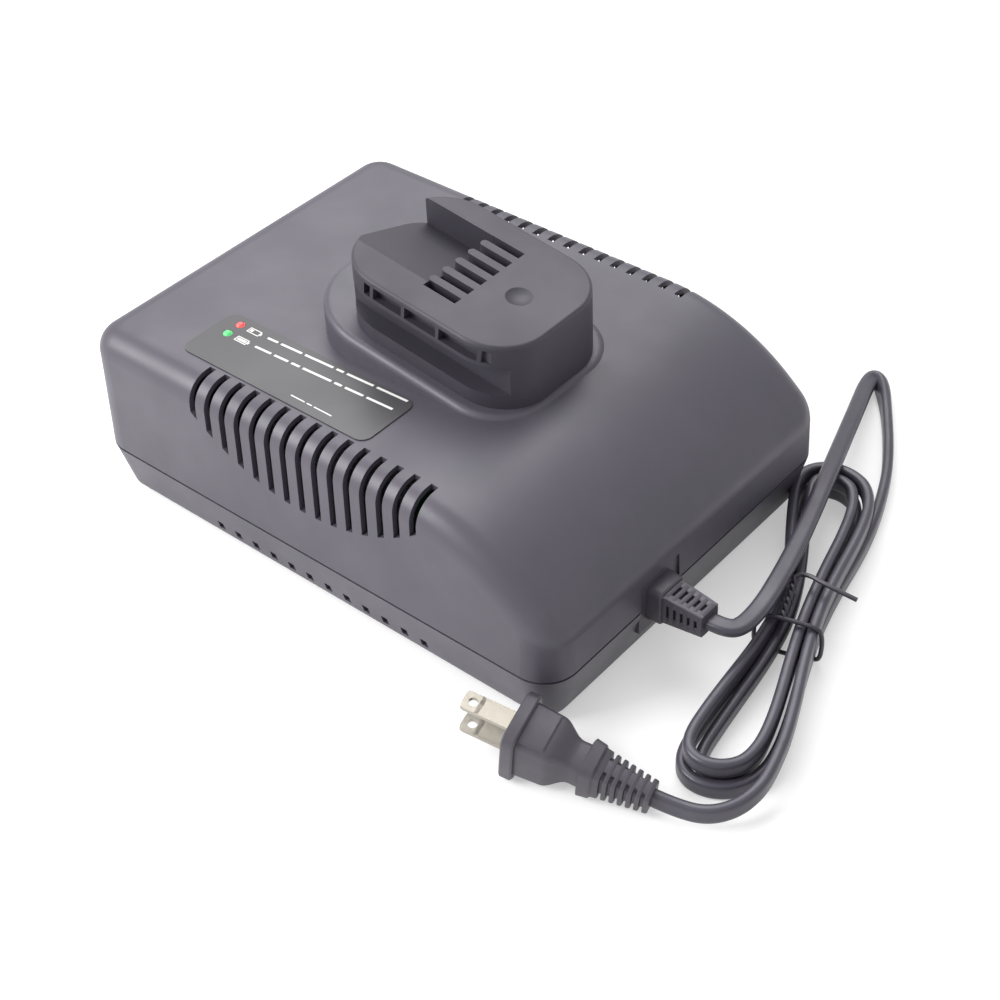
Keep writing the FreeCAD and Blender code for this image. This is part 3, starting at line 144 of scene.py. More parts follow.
charcoal_abs = moulded_plastic("charcoal ABS, spark-eroded texture", "#4A4751", "#504C57", 0.43)
dock_abs = moulded_plastic("charcoal ABS, rubbed by batteries", "#34313A", "#393640", 0.52, grain_depth_mm=0.03)
black_abs = moulded_plastic("black ABS, plain", "#17171A", "#1D1D20", 0.5)
green_board = moulded_plastic("green solder mask on glass laminate", "#1E5B33", "#246A3B", 0.35, grain_mm=1.5)
green_nylon = moulded_plastic("green nylon terminal moulding", "#3F7F4B", "#478A54", 0.45)
blue_sleeve = moulded_plastic("shrunk PVC sleeve, dark blue", "#1B2948", "#22335A", 0.3)
yellow_tape = moulded_plastic("polyester winding tape, yellow", "#C39A1E", "#CFA72C", 0.3)
foot_rubber = moulded_plastic("black foot rubber", "#121213", "#191919", 0.75)
print("plastics ready")

# %% [markdown]
# ## Soft PVC of the cord
# Cord, gland and plug are soft PVC. The sheath comes from a die and shines more than the case, with long
# soft highlights. The gland and the plug are moulded over it from the same compound and are duller.

# %% PVC sheath and PVC mouldings
sheath_pvc = moulded_plastic("PVC cord sheath, extruded", "#3D3A45", "#45424D", 0.36, grain_mm=1.2,
                             grain_depth_mm=0.02, cloud_mm=18)
moulded_pvc = moulded_plastic("PVC overmoulding, satin", "#444049", "#4B4851", 0.42, grain_mm=0.8,
                              grain_depth_mm=0.03, cloud_mm=14)
tie_plastic = moulded_plastic("PVC-covered tie wire", "#2B2932", "#34313B", 0.42, grain_mm=0.8)

# %% [markdown]
# ## Metals
# The blades are brass under bright nickel. Stamping and plating leave fine lines along them, so the
# roughness follows a noise that is stretched along the piece.

# %% Plated and plain metals
def plain_metal(name, colour, worn, rough, line_mm=0.25, stretch=(0.05, 1.0, 1.0)):
    """Metal with fine lines: a colour and a roughness that follow a stretched noise."""
    material, tree = new_material(name)
    spot = add(tree, "ShaderNodeTexCoord").outputs["Object"]
    turned = add(tree, "ShaderNodeMapping", Vector=spot, Scale=stretch)
    lines = add(tree, "ShaderNodeTexNoise", Vector=turned.outputs[0], Scale=1 / (line_mm * MM), Detail=3.0)
    tone = add(tree, "ShaderNodeMix", {"data_type": "RGBA"}, i0=lines.outputs["Fac"],
               i6=linear(colour), i7=linear(worn))
    gloss = add(tree, "ShaderNodeMapRange", i0=lines.outputs["Fac"], i1=0.3, i2=0.7,
                i3=rough - 0.05, i4=rough + 0.08)
    bump = add(tree, "ShaderNodeBump", Height=lines.outputs["Fac"], Strength=0.12, Distance=0.01 * MM)
    shader = add(tree, "ShaderNodeBsdfPrincipled", Metallic=1.0, Roughness=gloss.outputs[0],
                 Normal=bump.outputs["Normal"], **{"Base Color": tone.outputs[2]})
    add(tree, "ShaderNodeOutputMaterial", Surface=shader.outputs["BSDF"])
    return material


nickel = plain_metal("bright nickel on brass", "#B2ADA3", "#A9A398", 0.36)
zinc_steel = plain_metal("zinc-plated screw steel", "#9D9EA2", "#86878B", 0.35, stretch=(1, 1, 1))
aluminium = plain_metal("extruded aluminium", "#C3C5C8", "#B1B3B6", 0.38, stretch=(1, 1, 0.05))
ferrite = plain_metal("sintered ferrite", "#2B2B2E", "#38383B", 0.6, line_mm=0.6, stretch=(1, 1, 1))

# %% [markdown]
# ## Lamp lenses
# Each lamp is a tinted polycarbonate light pipe. It is off, so it only shows its own colour, with a faint
# painted glow: an emission that stands in for light running through the lens.

# %% Tinted lenses
def lens(name, colour, glow):
    """Tinted light-pipe plastic: a hazy colour with a faint painted glow, an emission of the glow colour."""
    material, tree = new_material(name)
    spot = add(tree, "ShaderNodeTexCoord").outputs["Object"]
    haze = add(tree, "ShaderNodeTexNoise", Vector=spot, Scale=1 / (1.2 * MM), Detail=2.0)
    tone = add(tree, "ShaderNodeMix", {"data_type": "RGBA"}, i0=haze.outputs["Fac"],
               i6=linear(colour), i7=linear(glow))
    shader = add(tree, "ShaderNodeBsdfPrincipled", Roughness=0.25, IOR=1.58,
                 # The emission is a painted glow on a lens that is off and is no lamp.
                 **{"Base Color": tone.outputs[2], "Emission Color": linear(glow), "Emission Strength": 0.25})
    add(tree, "ShaderNodeOutputMaterial", Surface=shader.outputs["BSDF"])
    return material


red_lens = lens("red polycarbonate lens", "#D23A3A", "#F06A66")
green_lens = lens("green polycarbonate lens", "#2FB85A", "#6FE08A")

# %% [markdown]
# ## The label film
# The label is a polycarbonate film printed dark grey. It is smoother than the case round it, so it
# catches the light as one even sheen.

# %% Label film and its ink
label_film = moulded_plastic("printed polycarbonate film", "#3E3D40", "#444346", 0.36, grain_mm=1.0,
                             grain_depth_mm=0.01, cloud_mm=50)
white_ink = moulded_plastic("white screen ink", "#D9D8D6", "#E4E3E1", 0.5, grain_mm=0.6, grain_depth_mm=0.01)

# %% Give every solid piece its finish
FINISHES = {
    "lower_case": charcoal_abs, "upper_cover": charcoal_abs, "battery_dock": dock_abs,
    "contact_carrier": black_abs, "dock_contacts": nickel, "dock_screws": zinc_steel,
    "status_label": label_film, "red_lamp": red_lens, "green_lamp": green_lens, "lamp_board": green_board,
    "main_board": green_board, "board_screws": zinc_steel, "transformer_core": ferrite,
    "transformer_winding": yellow_tape, "capacitors": blue_sleeve, "heat_sink": aluminium,
    "power_transistors": black_abs, "mains_fuse": nickel, "filter_choke": ferrite,
    "terminal_block": green_nylon, "case_screws": zinc_steel, "rubber_feet": foot_rubber,
    "cord_gland": moulded_pvc, "cord_lead": sheath_pvc, "cord_hank": sheath_pvc, "cord_tail": sheath_pvc,
    "plug_body": moulded_pvc, "plug_blades": nickel, "twist_tie": tie_plastic,
}
for name, node in nodes.items():
    node.data.materials.clear()
    node.data.materials.append(FINISHES[name])
print("finishes on", len(nodes), "pieces")

# %% [markdown]
# ## Moulded ends of the cord
# The gland, the plug and the wire tie are soft parts that the photograph shows in more detail than the
# solids have, so they are drawn here. Each moulding could be carved from a block, but a skin through a
# few rounded rectangles gives its drawn-in shape directly. A rectangle starts as a circle whose quarters
# move apart, and neighbours are bridged.

# %% A skin through rounded rectangles
RING_POINTS = 20


def rounded_ring(mesh, x, half_y, half_z, corner, y=0, z=0):
    """A rounded rectangle that stands across the X axis: a circle with its quarters moved apart."""
    ring = bmesh.ops.create_circle(mesh, segments=RING_POINTS, radius=corner * MM)["verts"]
    bmesh.ops.rotate(mesh, cent=(0, 0, 0), matrix=Matrix.Rotation(math.pi / RING_POINTS, 3, "Z"), verts=ring)
    bmesh.ops.rotate(mesh, cent=(0, 0, 0), matrix=Matrix.Rotation(math.radians(90), 3, "Y"), verts=ring)
    quarters = {}
    for vertex in ring:
        quarters.setdefault((math.copysign(1, vertex.co.y), math.copysign(1, vertex.co.z)), []).append(vertex)
    for (side_y, side_z), quarter in quarters.items():
        bmesh.ops.translate(mesh, verts=quarter, vec=(x * MM, (y + side_y * (half_y - corner)) * MM,
                                                      (z + side_z * (half_z - corner)) * MM))
    return ring


def edges_of(vertices):
    """The edges that meet the given vertices, each once and always in the same order."""
    return list(dict.fromkeys(edge for vertex in vertices for edge in vertex.link_edges))


def skin(mesh, *stations):
    """A closed skin through stations along X: place, half width, half height, corner, middle."""
    rings = [rounded_ring(mesh, *station) for station in stations]
    loops = [edges_of(ring) for ring in rings]
    for back, front in zip(loops, loops[1:]):
        bmesh.ops.bridge_loops(mesh, edges=back + front)
    for loop in (loops[0], loops[-1]):
        bmesh.ops.contextual_create(mesh, geom=loop)


# %% [markdown]
# A relief lets the cord bend in a wide curve where it leaves a stiff moulding. Its slots could be cut out
# of a cone, but plates round a slim core, with bars that tie them together, leave cleaner edges.

# %% A ribbed relief
GAP_DEPTH = 1.3
PLATE_BEVEL = 0.15
PLATE_EDGE = 0.2
BAR_INSET = 0.12
END_INSET = 0.1
RELIEF_CORNER = 1.8
BAR_CORNER = 0.5


def relief(mesh, back, front, gaps, gap_width, bar_half, bar_sides):
    """A tapered relief: a core, plates with gaps between them, and bars above and below on each given side."""
    back_x, back_half_y, back_half_z = back
    front_x, front_half_y, front_half_z = front

    def section(x, inset):
        share = (x - back_x) / (front_x - back_x)
        return (x, back_half_y + (front_half_y - back_half_y) * share - inset,
                back_half_z + (front_half_z - back_half_z) * share - inset, RELIEF_CORNER)

    skin(mesh, section(back_x, GAP_DEPTH), section(front_x - END_INSET, GAP_DEPTH))
    edges = [back_x] + [edge for gap in gaps for edge in (gap, gap + gap_width)] + [front_x]
    for low, high in zip(edges[::2], edges[1::2]):
        skin(mesh, section(low, PLATE_BEVEL), section(low + PLATE_EDGE, 0),
             section(high - PLATE_EDGE, 0), section(high, PLATE_BEVEL))
    for side_y in bar_sides:
        for side_z in (-1, 1):
            ends = []
            for end in (back_x + END_INSET, front_x - END_INSET):
                x, half_y, half_z, _ = section(end, BAR_INSET)
                ends.append((x, bar_half, bar_half, BAR_CORNER,
                             side_y * (half_y - bar_half), side_z * (half_z - bar_half)))
            skin(mesh, *ends)


# %% [markdown]
# Each piece starts as a bmesh and ends as an object with its place in its mesh, like a solid's. Normals
# are recalculated, because a bridged skin can come out inside out.

# %% From a bmesh to a piece
SHARP_ANGLE = math.radians(35)


def piece(name, mesh, material, smooth=False):
    """A bmesh as an object of the root body, with its normals facing out."""
    bmesh.ops.recalc_face_normals(mesh, faces=mesh.faces)
    data = bpy.data.meshes.new(name)
    mesh.to_mesh(data)
    mesh.free()
    data.materials.append(material)
    for polygon in data.polygons:
        polygon.use_smooth = smooth
    if smooth:
        data.set_sharp_from_angle(angle=SHARP_ANGLE)
    thing = bpy.data.objects.new(name, data)
    scene.collection.objects.link(thing)
    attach(thing, "root")
    return thing


# %% [markdown]
# The gland holds the cord in the case. It is a plate in the case's square notch, a block in front of it
# and a relief with slots on all its sides. Bars along its four edges close the slots.

# %% The gland in the case's end wall
GLAND_MIDDLE = Vector((0, -19, 22)) * MM
GLAND_PLATE = [(93, 9.96, 9.96, 0.2), (99.2, 9.96, 9.96, 0.2)]
GLAND_BLOCK = [(97.8, 6.6, 7, 2.4), (103.9, 6.3, 6.7, 2.4), (104.4, 5.8, 6.2, 2.2)]
GAP_PITCH = 2.5
GLAND_GAP_WIDTH = 0.95
gland_gaps = [105.8 + GAP_PITCH * index for index in range(5)]

mesh = bmesh.new()
skin(mesh, *GLAND_PLATE)
skin(mesh, *GLAND_BLOCK)
relief(mesh, (104, 5.4, 5.6), (118.6, 4.4, 4.3), gland_gaps, GLAND_GAP_WIDTH, bar_half=1.5, bar_sides=(-1, 1))
bmesh.ops.translate(mesh, vec=GLAND_MIDDLE, verts=mesh.verts)
gland = piece("gland_moulding", mesh, moulded_pvc, smooth=True)
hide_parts("cord_gland")
print(len(gland.data.polygons), "faces on the gland")

# %% [markdown]
# The plug has a flange, a grip that draws in to a neck, a collar and a ribbed relief with one bar above and
# one below. It rests on the edge of its flange and on the cord, so its line dips towards the relief and it
# is rolled a little.

# %% The plug
PLUG_PLACE = Vector((95.5, -85.5, 13.55)) * MM
PLUG_YAW = math.radians(13.5)
PLUG_PITCH = math.radians(9.2)
PLUG_ROLL = math.radians(9.6)
PLUG_LENGTH = 45
PLUG_FLANGE = [(0, 9.7, 11.4, 3.6), (0.5, 10.25, 12, 4), (3.7, 10.25, 12, 4), (4.2, 9.7, 11.4, 3.6)]
PLUG_PANELS = [(4, 7.2, 10.4, 0.8), (12, 6.8, 10, 0.8), (13.2, 6.2, 8.8, 0.8)]
PLUG_COLLAR = [(23.4, 6.4, 7.2, 2.6), (23.8, 7, 7.8, 2.8), (27.2, 6.6, 7.4, 2.8), (27.7, 6.1, 6.9, 2.6)]
GRIP_START = (4, 8.6, 9.8, 2.8)
GRIP_HALVES = (8.2, 9.4)
GRIP_CORNER = 2.8
NECK_HALVES = (5.4, 6)
NECK_END = (24, *NECK_HALVES, 2.6)
SHOULDER_START = 12.5
SHOULDER_STEPS = 9
PLUG_GAP_WIDTH = 1.15
plug_gaps = [29.8 + GAP_PITCH * index for index in range(6)]
plug_turn = (Matrix.Rotation(PLUG_YAW, 4, "Z") @ Matrix.Rotation(PLUG_PITCH, 4, "Y")
             @ Matrix.Rotation(PLUG_ROLL, 4, "X"))
plug_matrix = Matrix.Translation(PLUG_PLACE) @ plug_turn

mesh = bmesh.new()
skin(mesh, *PLUG_FLANGE)
shoulder = []
for step in range(SHOULDER_STEPS):
    fall = (1 - math.cos(math.pi * step / (SHOULDER_STEPS - 1))) / 2
    half_y, half_z = (grip + (neck - grip) * fall for grip, neck in zip(GRIP_HALVES, NECK_HALVES))
    shoulder.append((SHOULDER_START + step, half_y, half_z, GRIP_CORNER))
skin(mesh, GRIP_START, *shoulder, NECK_END)
skin(mesh, *PLUG_PANELS)
skin(mesh, *PLUG_COLLAR)
relief(mesh, (27.5, 5.9, 6.4), (PLUG_LENGTH, 4.2, 4.4), plug_gaps, PLUG_GAP_WIDTH, bar_half=2.2, bar_sides=(0,))
bmesh.ops.transform(mesh, matrix=plug_matrix, verts=mesh.verts)
plug = piece("plug_moulding", mesh, moulded_pvc, smooth=True)
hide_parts("plug_body")
print(len(plug.data.polygons), "faces on the plug")

# %% [markdown]
# Each blade ends in a rounded tip with a hole in it. A circle that is pushed out to a rounded square is
# bridged to the hole's circle, and the ring between them is extruded to the blade's thickness.

# %% The plug's blades
BLADE_HALF = 3.175
BLADE_THICKNESS = 1.5
BLADE_SPACING = 12.7
BLADE_HOLE = 1.55
BLADE_POINTS = 24
BLADE_ROOT = 3
HOLE_PLACE = -13.6
SQUARENESS = 7
bar_tip = HOLE_PLACE + BLADE_HOLE + 0.2

mesh = bmesh.new()
for side in (-1, 1):
    middle = side * BLADE_SPACING / 2
    hole = bmesh.ops.create_circle(mesh, segments=BLADE_POINTS, radius=BLADE_HOLE * MM)["verts"]
    tip = bmesh.ops.create_circle(mesh, segments=BLADE_POINTS, radius=BLADE_HALF * MM)["verts"]
    for vertex in tip:
        along, across = (abs(share) for share in vertex.co.xy / (BLADE_HALF * MM))
        vertex.co *= 1 / (along ** SQUARENESS + across ** SQUARENESS) ** (1 / SQUARENESS)
    flat_faces = bmesh.ops.bridge_loops(mesh, edges=edges_of(hole + tip))["faces"]
    raised = [item for item in bmesh.ops.extrude_face_region(mesh, geom=flat_faces)["geom"]
              if isinstance(item, bmesh.types.BMVert)]
    bmesh.ops.translate(mesh, vec=(0, 0, BLADE_THICKNESS * MM), verts=raised)
    bmesh.ops.translate(mesh, vec=(HOLE_PLACE * MM, 0, (middle - BLADE_THICKNESS / 2) * MM),
                        verts=raised + hole + tip)
    bar = bmesh.ops.create_cube(mesh, size=1)["verts"]
    bmesh.ops.scale(mesh, vec=((BLADE_ROOT - bar_tip) * MM, 2 * BLADE_HALF * MM, BLADE_THICKNESS * MM), verts=bar)
    bmesh.ops.translate(mesh, vec=((BLADE_ROOT + bar_tip) / 2 * MM, 0, middle * MM), verts=bar)
# An extrusion lists its side faces in an order that changes from run to run, so the faces are put in order
in_order = sorted(mesh.faces, key=lambda face: [round(value / MM, 3) for value in face.calc_center_median()])
for index, face in enumerate(in_order):
    face.index = index
mesh.faces.sort()
bmesh.ops.transform(mesh, matrix=plug_matrix, verts=mesh.verts)
blades = piece("plug_blade_pair", mesh, nickel)
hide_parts("plug_blades")
print(len(blades.data.polygons), "faces on the blades")

# %% [markdown]
# ## The cord
# A flat two-core mains lead leaves the gland, runs in a long arch and comes back, is wound into a tied
# hank, and ends in the plug. A soft cord has no corners, so its line is a quadratic NURBS curve whose
# control points are the corners of its route. The round end of each loop is half an octagon of such
# points, which that curve turns into a near circle.

# %% Lay the points of the cord's line
LEAD = [(118.6, -19, 22), (124, -19, 22), (127.6, -15.4, 21.5), (127.2, -4, 21), (124, 10.9, 20.2),
        (119.2, 28.5, 18.8), (113.5, 46.4, 17.4), (106.9, 66.1, 16), (98.8, 89, 12.5), (89.4, 114.8, 7.5),
        (83.7, 130, 4.6), (82.3, 138, 3.6), (87.6, 135.2, 3.2), (98.2, 120.9, 3.2), (109.8, 102.8, 3.2),
        (118.2, 86.6, 3.2)]
TAIL = [(161.5, -48, 9.4), (162.5, -56, 8.6), (160.5, -64, 7), (154.5, -70.5, 5.4),
        (145.4, -73.5, 5.2), (138.66, -75.09, 6.33)]

# %% [markdown]
# The hank is wound in stages, eight to a turn. The line spirals in from the outer turn, climbs to a second
# layer, and spirals out again. Each lobe's middle line bows the same way, and all turns draw in to the tied
# waist.

# %% Wind the hank
WAIST = Vector((130.5, 10, 0))
ALONG = Vector((-30, 95, 0)).normalized()
ACROSS = Vector((ALONG.y, -ALONG.x, 0))
LOBE_HALF = 14.5
LOBE_END = 74
LOBE_MIDDLE = LOBE_END - LOBE_HALF
WAIST_HALF = 8
WAIST_STEP = 0.77
WAIST_SHIFT = 1
LOBE_SHIFT = -4.6
WAIST_LIFT = 2
LOOP_STEP = 5.2
LAYER_LOW = 3.15
LAYER_STEP = 6.3
STAGES_PER_TURN = 8
TURNING_STAGE = 12
LAST_STAGE = 26
LOBE_RUN = 12
WAIST_RUN = 12
# Beyond its radius, an octagon's corner stands this share of the radius along its side
CORNER_SHARE = math.tan(math.radians(22.5))


def inward(stage):
    """How far the line has spiralled in at a stage; eight stages make a turn."""
    return LOOP_STEP * min(stage, TURNING_STAGE, LAST_STAGE - stage) / STAGES_PER_TURN


def hank_spot(stage, side, station):
    """A place in the hank, which bows a little and is lifted where the tie passes under it."""
    climb = min(max((stage - TURNING_STAGE) / 2, 0), 1)
    share = station / LOBE_MIDDLE
    shift = WAIST_SHIFT + LOBE_SHIFT * share ** 2
    lift = WAIST_LIFT * max(0, 1 - abs(share))
    height = LAYER_LOW + LAYER_STEP * climb + lift
    return WAIST + ACROSS * (side + shift) + ALONG * station + Vector((0, 0, height))


# One turn of the hank: stage, kind of point, side of the hank's middle line, and place along it, which
# for a corner or an end is only the direction
TURN_PLAN = [
    (0.0, "lobe", 1, LOBE_MIDDLE - LOBE_RUN), (0.8, "waist", 1, WAIST_RUN), (1.2, "waist", 1, -WAIST_RUN),
    (1.9, "lobe", 1, LOBE_RUN - LOBE_MIDDLE), (2.25, "corner", 1, -1), (2.75, "end", 1, -1),
    (3.25, "end", -1, -1), (3.75, "corner", -1, -1), (4.1, "lobe", -1, LOBE_RUN - LOBE_MIDDLE),
    (4.8, "waist", -1, -WAIST_RUN), (5.2, "waist", -1, WAIST_RUN), (5.9, "lobe", -1, LOBE_MIDDLE - LOBE_RUN),
    (6.25, "corner", -1, 1), (6.75, "end", -1, 1), (7.25, "end", 1, 1), (7.75, "corner", 1, 1),
]


def hank_points():
    """Control points of the hank, from its start beside the upper loop to the tail's first run."""
    points = []
    for turn in range(math.ceil(LAST_STAGE / STAGES_PER_TURN)):
        for share, kind, side, station in TURN_PLAN:
            stage = turn * STAGES_PER_TURN + share
            if stage > LAST_STAGE:
                return points
            radius = LOBE_HALF - inward(stage)
            if kind == "lobe":
                points.append(hank_spot(stage, side * radius, station))
            elif kind == "waist":
                points.append(hank_spot(stage, side * (WAIST_HALF - inward(stage) * WAIST_STEP), station))
            elif kind == "corner":
                points.append(hank_spot(stage, side * radius, station * (LOBE_MIDDLE + radius * CORNER_SHARE)))
            else:
                points.append(hank_spot(stage, side * radius * CORNER_SHARE, station * (LOBE_MIDDLE + radius)))
    return points


route = [Vector(point) for point in LEAD] + hank_points() + [Vector(point) for point in TAIL]
print(len(route), "points on the cord's line")

# %% [markdown]
# ## Curves
# The tie and the cord are swept along the same kind of curve. One function makes it from its control
# points, and a second takes the mesh that it gives.

# %% Two helpers for curves
def nurbs_curve(name, spots, resolution, closed=False):
    """A quadratic NURBS curve through control points in metres; a closed one is a flat outline."""
    curve = bpy.data.curves.new(name, "CURVE")
    curve.dimensions = "2D" if closed else "3D"
    spline = curve.splines.new("NURBS")
    spline.points.add(len(spots) - 1)
    for point, spot in zip(spline.points, spots):
        point.co = (*spot, 1.0)
    spline.order_u = 3
    spline.use_endpoint_u = not closed
    spline.use_cyclic_u = closed
    spline.resolution_u = resolution
    thing = bpy.data.objects.new(name, curve)
    scene.collection.objects.link(thing)
    return thing


def mesh_of(thing):
    """The mesh that a curve gives as it stands now."""
    bpy.context.view_layer.update()
    return bpy.data.meshes.new_from_object(thing.evaluated_get(bpy.context.evaluated_depsgraph_get()))


# %% [markdown]
# ## The wire tie
# A short piece of covered wire goes round the waist of the hank. Its two ends are twisted together under
# the arch, and one of them runs on over the loops. The twist could be a helix of many points; four points
# to a turn are enough for a smooth curve.

# %% Bend the tie
TIE_RADIUS = 0.75
TIE_STATION = -9
STEM_TURNS = 3
STEM_RADIUS = 1.0
STEM_POINTS = 4 * STEM_TURNS
LOOSE_END = [(126.2, 20.4, 16.6), (129.5, 20.6, 17.6), (134, 20, 17.8), (140, 20.4, 17.2), (146.3, 21.4, 16.2)]


def waist_spot(side, station, height):
    """A place at the waist of the hank: across it, along it and above the floor."""
    return WAIST + ACROSS * (side + WAIST_SHIFT) + ALONG * station + Vector((0, 0, height))


ring = [waist_spot(side, TIE_STATION, height) for side, height in (
    (-3, 15.6), (-8.6, 15.2), (-10.9, 12.5), (-10.9, 3), (-9.2, 0.78), (9.2, 0.78), (10.9, 3), (10.9, 12.5),
    (8.6, 15.2), (-2, 15.6))]
stem_start, stem_end = waist_spot(-2.5, TIE_STATION, 15.6), waist_spot(-3.2, -TIE_STATION, 16.4)


def stem_strand(first):
    """One of the two twisted ends, from its first angle."""
    strand = []
    for step in range(STEM_POINTS + 1):
        angle = math.radians(first + 90 * step)
        spot = stem_start.lerp(stem_end, step / STEM_POINTS)
        strand.append(spot + STEM_RADIUS * (ACROSS * math.cos(angle) + Vector((0, 0, math.sin(angle)))))
    return strand


tie_spots = stem_strand(0)[::-1] + ring + stem_strand(180) + LOOSE_END
wire = nurbs_curve("tie_wire", [Vector(spot) * MM for spot in tie_spots], resolution=6)
wire.data.bevel_depth = TIE_RADIUS * MM
wire.data.bevel_resolution = 3
wire.data.use_fill_caps = True
mesh = bmesh.new()
mesh.from_mesh(mesh_of(wire))
bpy.data.objects.remove(wire)
tie = piece("wire_tie", mesh, tie_plastic, smooth=True)
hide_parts("twist_tie")
print("tie bent")

# %% [markdown]
# The cord is flat: two cores side by side in one sheath. A flat oval is swept along the line to make
# it, and each point's tilt says how it stands. It lies flat along the arch, turns over at the fold, and
# stands on its edge in the hank, as a flat cord does when it is wound.

# %% Sweep the flat sheath along the line
SHEATH_WIDTH = 6.2
SHEATH_THICKNESS = 3.8
TURN_START = len(LEAD) - 6
TURN_POINTS = 3
# The oval's corners start at this share of its half size, and its flat sides dip a little in the middle
SIDE_SHARE = 0.62
DIP_SHARE = 0.93

line = nurbs_curve("cord_line", [spot * MM for spot in route], resolution=10)
line.data.twist_mode = "Z_UP"
for index, point in enumerate(line.data.splines[0].points):
    point.tilt = math.radians(90) * min(max((index - TURN_START) / TURN_POINTS, 0), 1)
path = [tuple(vertex.co) for vertex in mesh_of(line).vertices]

half, low = SHEATH_WIDTH / 2 * MM, SHEATH_THICKNESS / 2 * MM
upper = [(half, low * SIDE_SHARE), (half * SIDE_SHARE, low), (0, low * DIP_SHARE),
         (-half * SIDE_SHARE, low), (-half, low * SIDE_SHARE)]
lower = [(-x, -y) for x, y in upper]
oval = nurbs_curve("sheath_outline", [(x, y, 0) for x, y in upper + lower], resolution=2, closed=True)
line.data.bevel_mode = "OBJECT"
line.data.bevel_object = oval
line.data.use_fill_caps = True
cord_mesh = mesh_of(line)
for thing in (line, oval):
    bpy.data.objects.remove(thing)
cord = bpy.data.objects.new("mains_cord", cord_mesh)
scene.collection.objects.link(cord)
cord_mesh.materials.clear()
cord_mesh.materials.append(sheath_pvc)
for polygon in cord_mesh.polygons:
    polygon.use_smooth = True
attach(cord, "root")
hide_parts("cord_lead", "cord_hank", "cord_tail")
print(len(cord_mesh.polygons), "faces on the cord")

# %% [markdown]
# ## The print on the label
# Generic signs on the label say what the lamps mean: a battery that fills beside the red lamp, a full
# one beside the green lamp, and rows of plain bars. Each is a thin layer of ink, a twentieth of a
# millimetre thick, on top of the film.

# %% Draw the ink
INK_LOW = 68.7
INK_THICKNESS = 0.05
SIGN_WALL = 0.35
POLE_GAP = 0.1
POLE_LENGTH = 0.5
POLE_SHARE = 0.45


def ink_bar(mesh, x, y, length, width, slant=0.0):
    """One bar of ink with its middle at the given place."""
    corners = bmesh.ops.create_cube(mesh, size=1)["verts"]
    bmesh.ops.scale(mesh, vec=(length * MM, width * MM, INK_THICKNESS * MM), verts=corners)
    bmesh.ops.rotate(mesh, cent=(0, 0, 0), matrix=Matrix.Rotation(slant, 3, "Z"), verts=corners)
    bmesh.ops.translate(mesh, vec=(x * MM, y * MM, (INK_LOW + INK_THICKNESS / 2) * MM), verts=corners)


def ink_battery(mesh, x, y, length, height, share):
    """A battery sign: four walls, a pole and a filling."""
    for side in (-1, 1):
        ink_bar(mesh, x, y + side * (height - SIGN_WALL) / 2, length, SIGN_WALL)
        ink_bar(mesh, x + side * (length - SIGN_WALL) / 2, y, SIGN_WALL, height - 2 * SIGN_WALL)
    ink_bar(mesh, x + length / 2 + POLE_GAP + POLE_LENGTH / 2, y, POLE_LENGTH, height * POLE_SHARE)
    filling = (length - 4 * SIGN_WALL) * share
    ink_bar(mesh, x - length / 2 + 2 * SIGN_WALL + filling / 2, y, filling, height - 4 * SIGN_WALL)


ink = bmesh.new()
RED_ROW, GREEN_ROW = -39.4, -45.2
ROW_SLOPE = 0.045
BATTERY_PLACE = -50.4
BARS_START = -44.5
BAR_GAP = 1.4
BAR_WIDTH = 0.9
SIGN_LENGTH, SIGN_HEIGHT = 5.2, 2.5
FINE_ROW = -56.3
FINE_WIDTH = 0.45
for row, share, bars in ((RED_ROW, 0.35, (4.5, 9, 12, 3, 11, 12.5)),
                         (GREEN_ROW, 1.0, (7, 6, 3.5, 12, 3, 7.5, 10.5))):
    ink_battery(ink, BATTERY_PLACE, row, SIGN_LENGTH, SIGN_HEIGHT, share)
    x = BARS_START
    for bar in bars:
        middle = x + bar / 2
        ink_bar(ink, middle, row + (middle - BATTERY_PLACE) * ROW_SLOPE, bar, BAR_WIDTH, ROW_SLOPE)
        x += bar + BAR_GAP
for x, length in ((-14, 6), (-9, 2.2), (-3.2, 7.5)):
    ink_bar(ink, x, FINE_ROW, length, FINE_WIDTH)
label_print = piece("label_print", ink, white_ink)
print("label printed")

# %% [markdown]
# ## The floor and the light
# A product picture stands on a white sheet under two softboxes and a bright sky. The sheet is a pale
# floor that glows a little for the camera and in reflections, but lights nothing, so the background is
# white and the shadow stays. The sky is white for the camera and dimmer for all other rays.

# %% Floor
FLOOR_HALF = 3.0
FLOOR_LIFT = 0.4

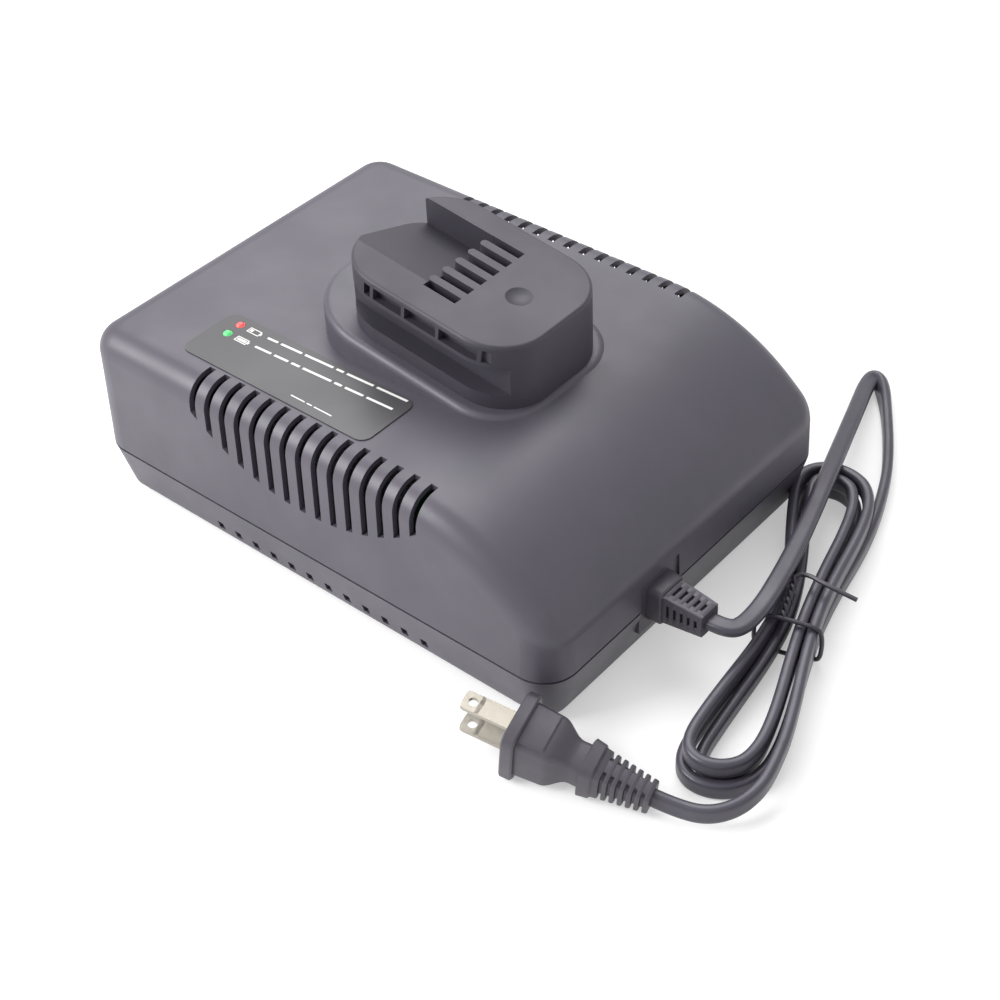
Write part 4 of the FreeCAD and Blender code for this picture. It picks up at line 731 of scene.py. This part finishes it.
floor_mesh = bmesh.new()
bmesh.ops.create_grid(floor_mesh, x_segments=1, y_segments=1, size=FLOOR_HALF)
floor_data = bpy.data.meshes.new("floor")
floor_mesh.to_mesh(floor_data)
floor_mesh.free()
floor = bpy.data.objects.new("floor", floor_data)
scene.collection.objects.link(floor)
paper, tree = new_material("white paper sheet")
rays = add(tree, "ShaderNodeLightPath")
seen = add(tree, "ShaderNodeMath", {"operation": "MAXIMUM"}, i0=rays.outputs["Is Camera Ray"],
           i1=rays.outputs["Is Glossy Ray"])
lift = add(tree, "ShaderNodeMath", {"operation": "MULTIPLY"}, i0=seen.outputs[0], i1=FLOOR_LIFT)
sheet = add(tree, "ShaderNodeBsdfDiffuse", Color=linear("#D4D4D4"))
glow = add(tree, "ShaderNodeEmission", Color=linear("#FFFFFF"), Strength=lift.outputs[0])
both = add(tree, "ShaderNodeAddShader", i0=sheet.outputs[0], i1=glow.outputs[0])
add(tree, "ShaderNodeOutputMaterial", Surface=both.outputs[0])
floor_data.materials.append(paper)

# %% Light
SKY_LEVEL = 0.72
AIM = Vector((30, 0, 40)) * MM

world = bpy.data.worlds.new("studio")
scene.world = world
world.use_nodes = True
tree = world.node_tree
tree.nodes.clear()
rays = add(tree, "ShaderNodeLightPath")
level = add(tree, "ShaderNodeMapRange", i0=rays.outputs["Is Camera Ray"], i1=0.0, i2=1.0, i3=SKY_LEVEL, i4=1.0)
sky = add(tree, "ShaderNodeBackground", Color=linear("#FFFFFF"), Strength=level.outputs[0])
add(tree, "ShaderNodeOutputWorld", Surface=sky.outputs[0])


def softbox(name, place, size, watts):
    """A square area light that looks at the middle of the charger."""
    lamp = bpy.data.lights.new(name, "AREA")
    lamp.shape = "SQUARE"
    lamp.size = size
    lamp.energy = watts
    thing = bpy.data.objects.new(name, lamp)
    thing.location = place
    thing.rotation_euler = (AIM - Vector(place)).to_track_quat("-Z", "Y").to_euler()
    scene.collection.objects.link(thing)


softbox("softbox_over_back", (-0.45, 0.55, 1.1), 1.0, 12)
softbox("softbox_left", (-0.6, -0.8, 0.75), 0.7, 15)
print("stage set")
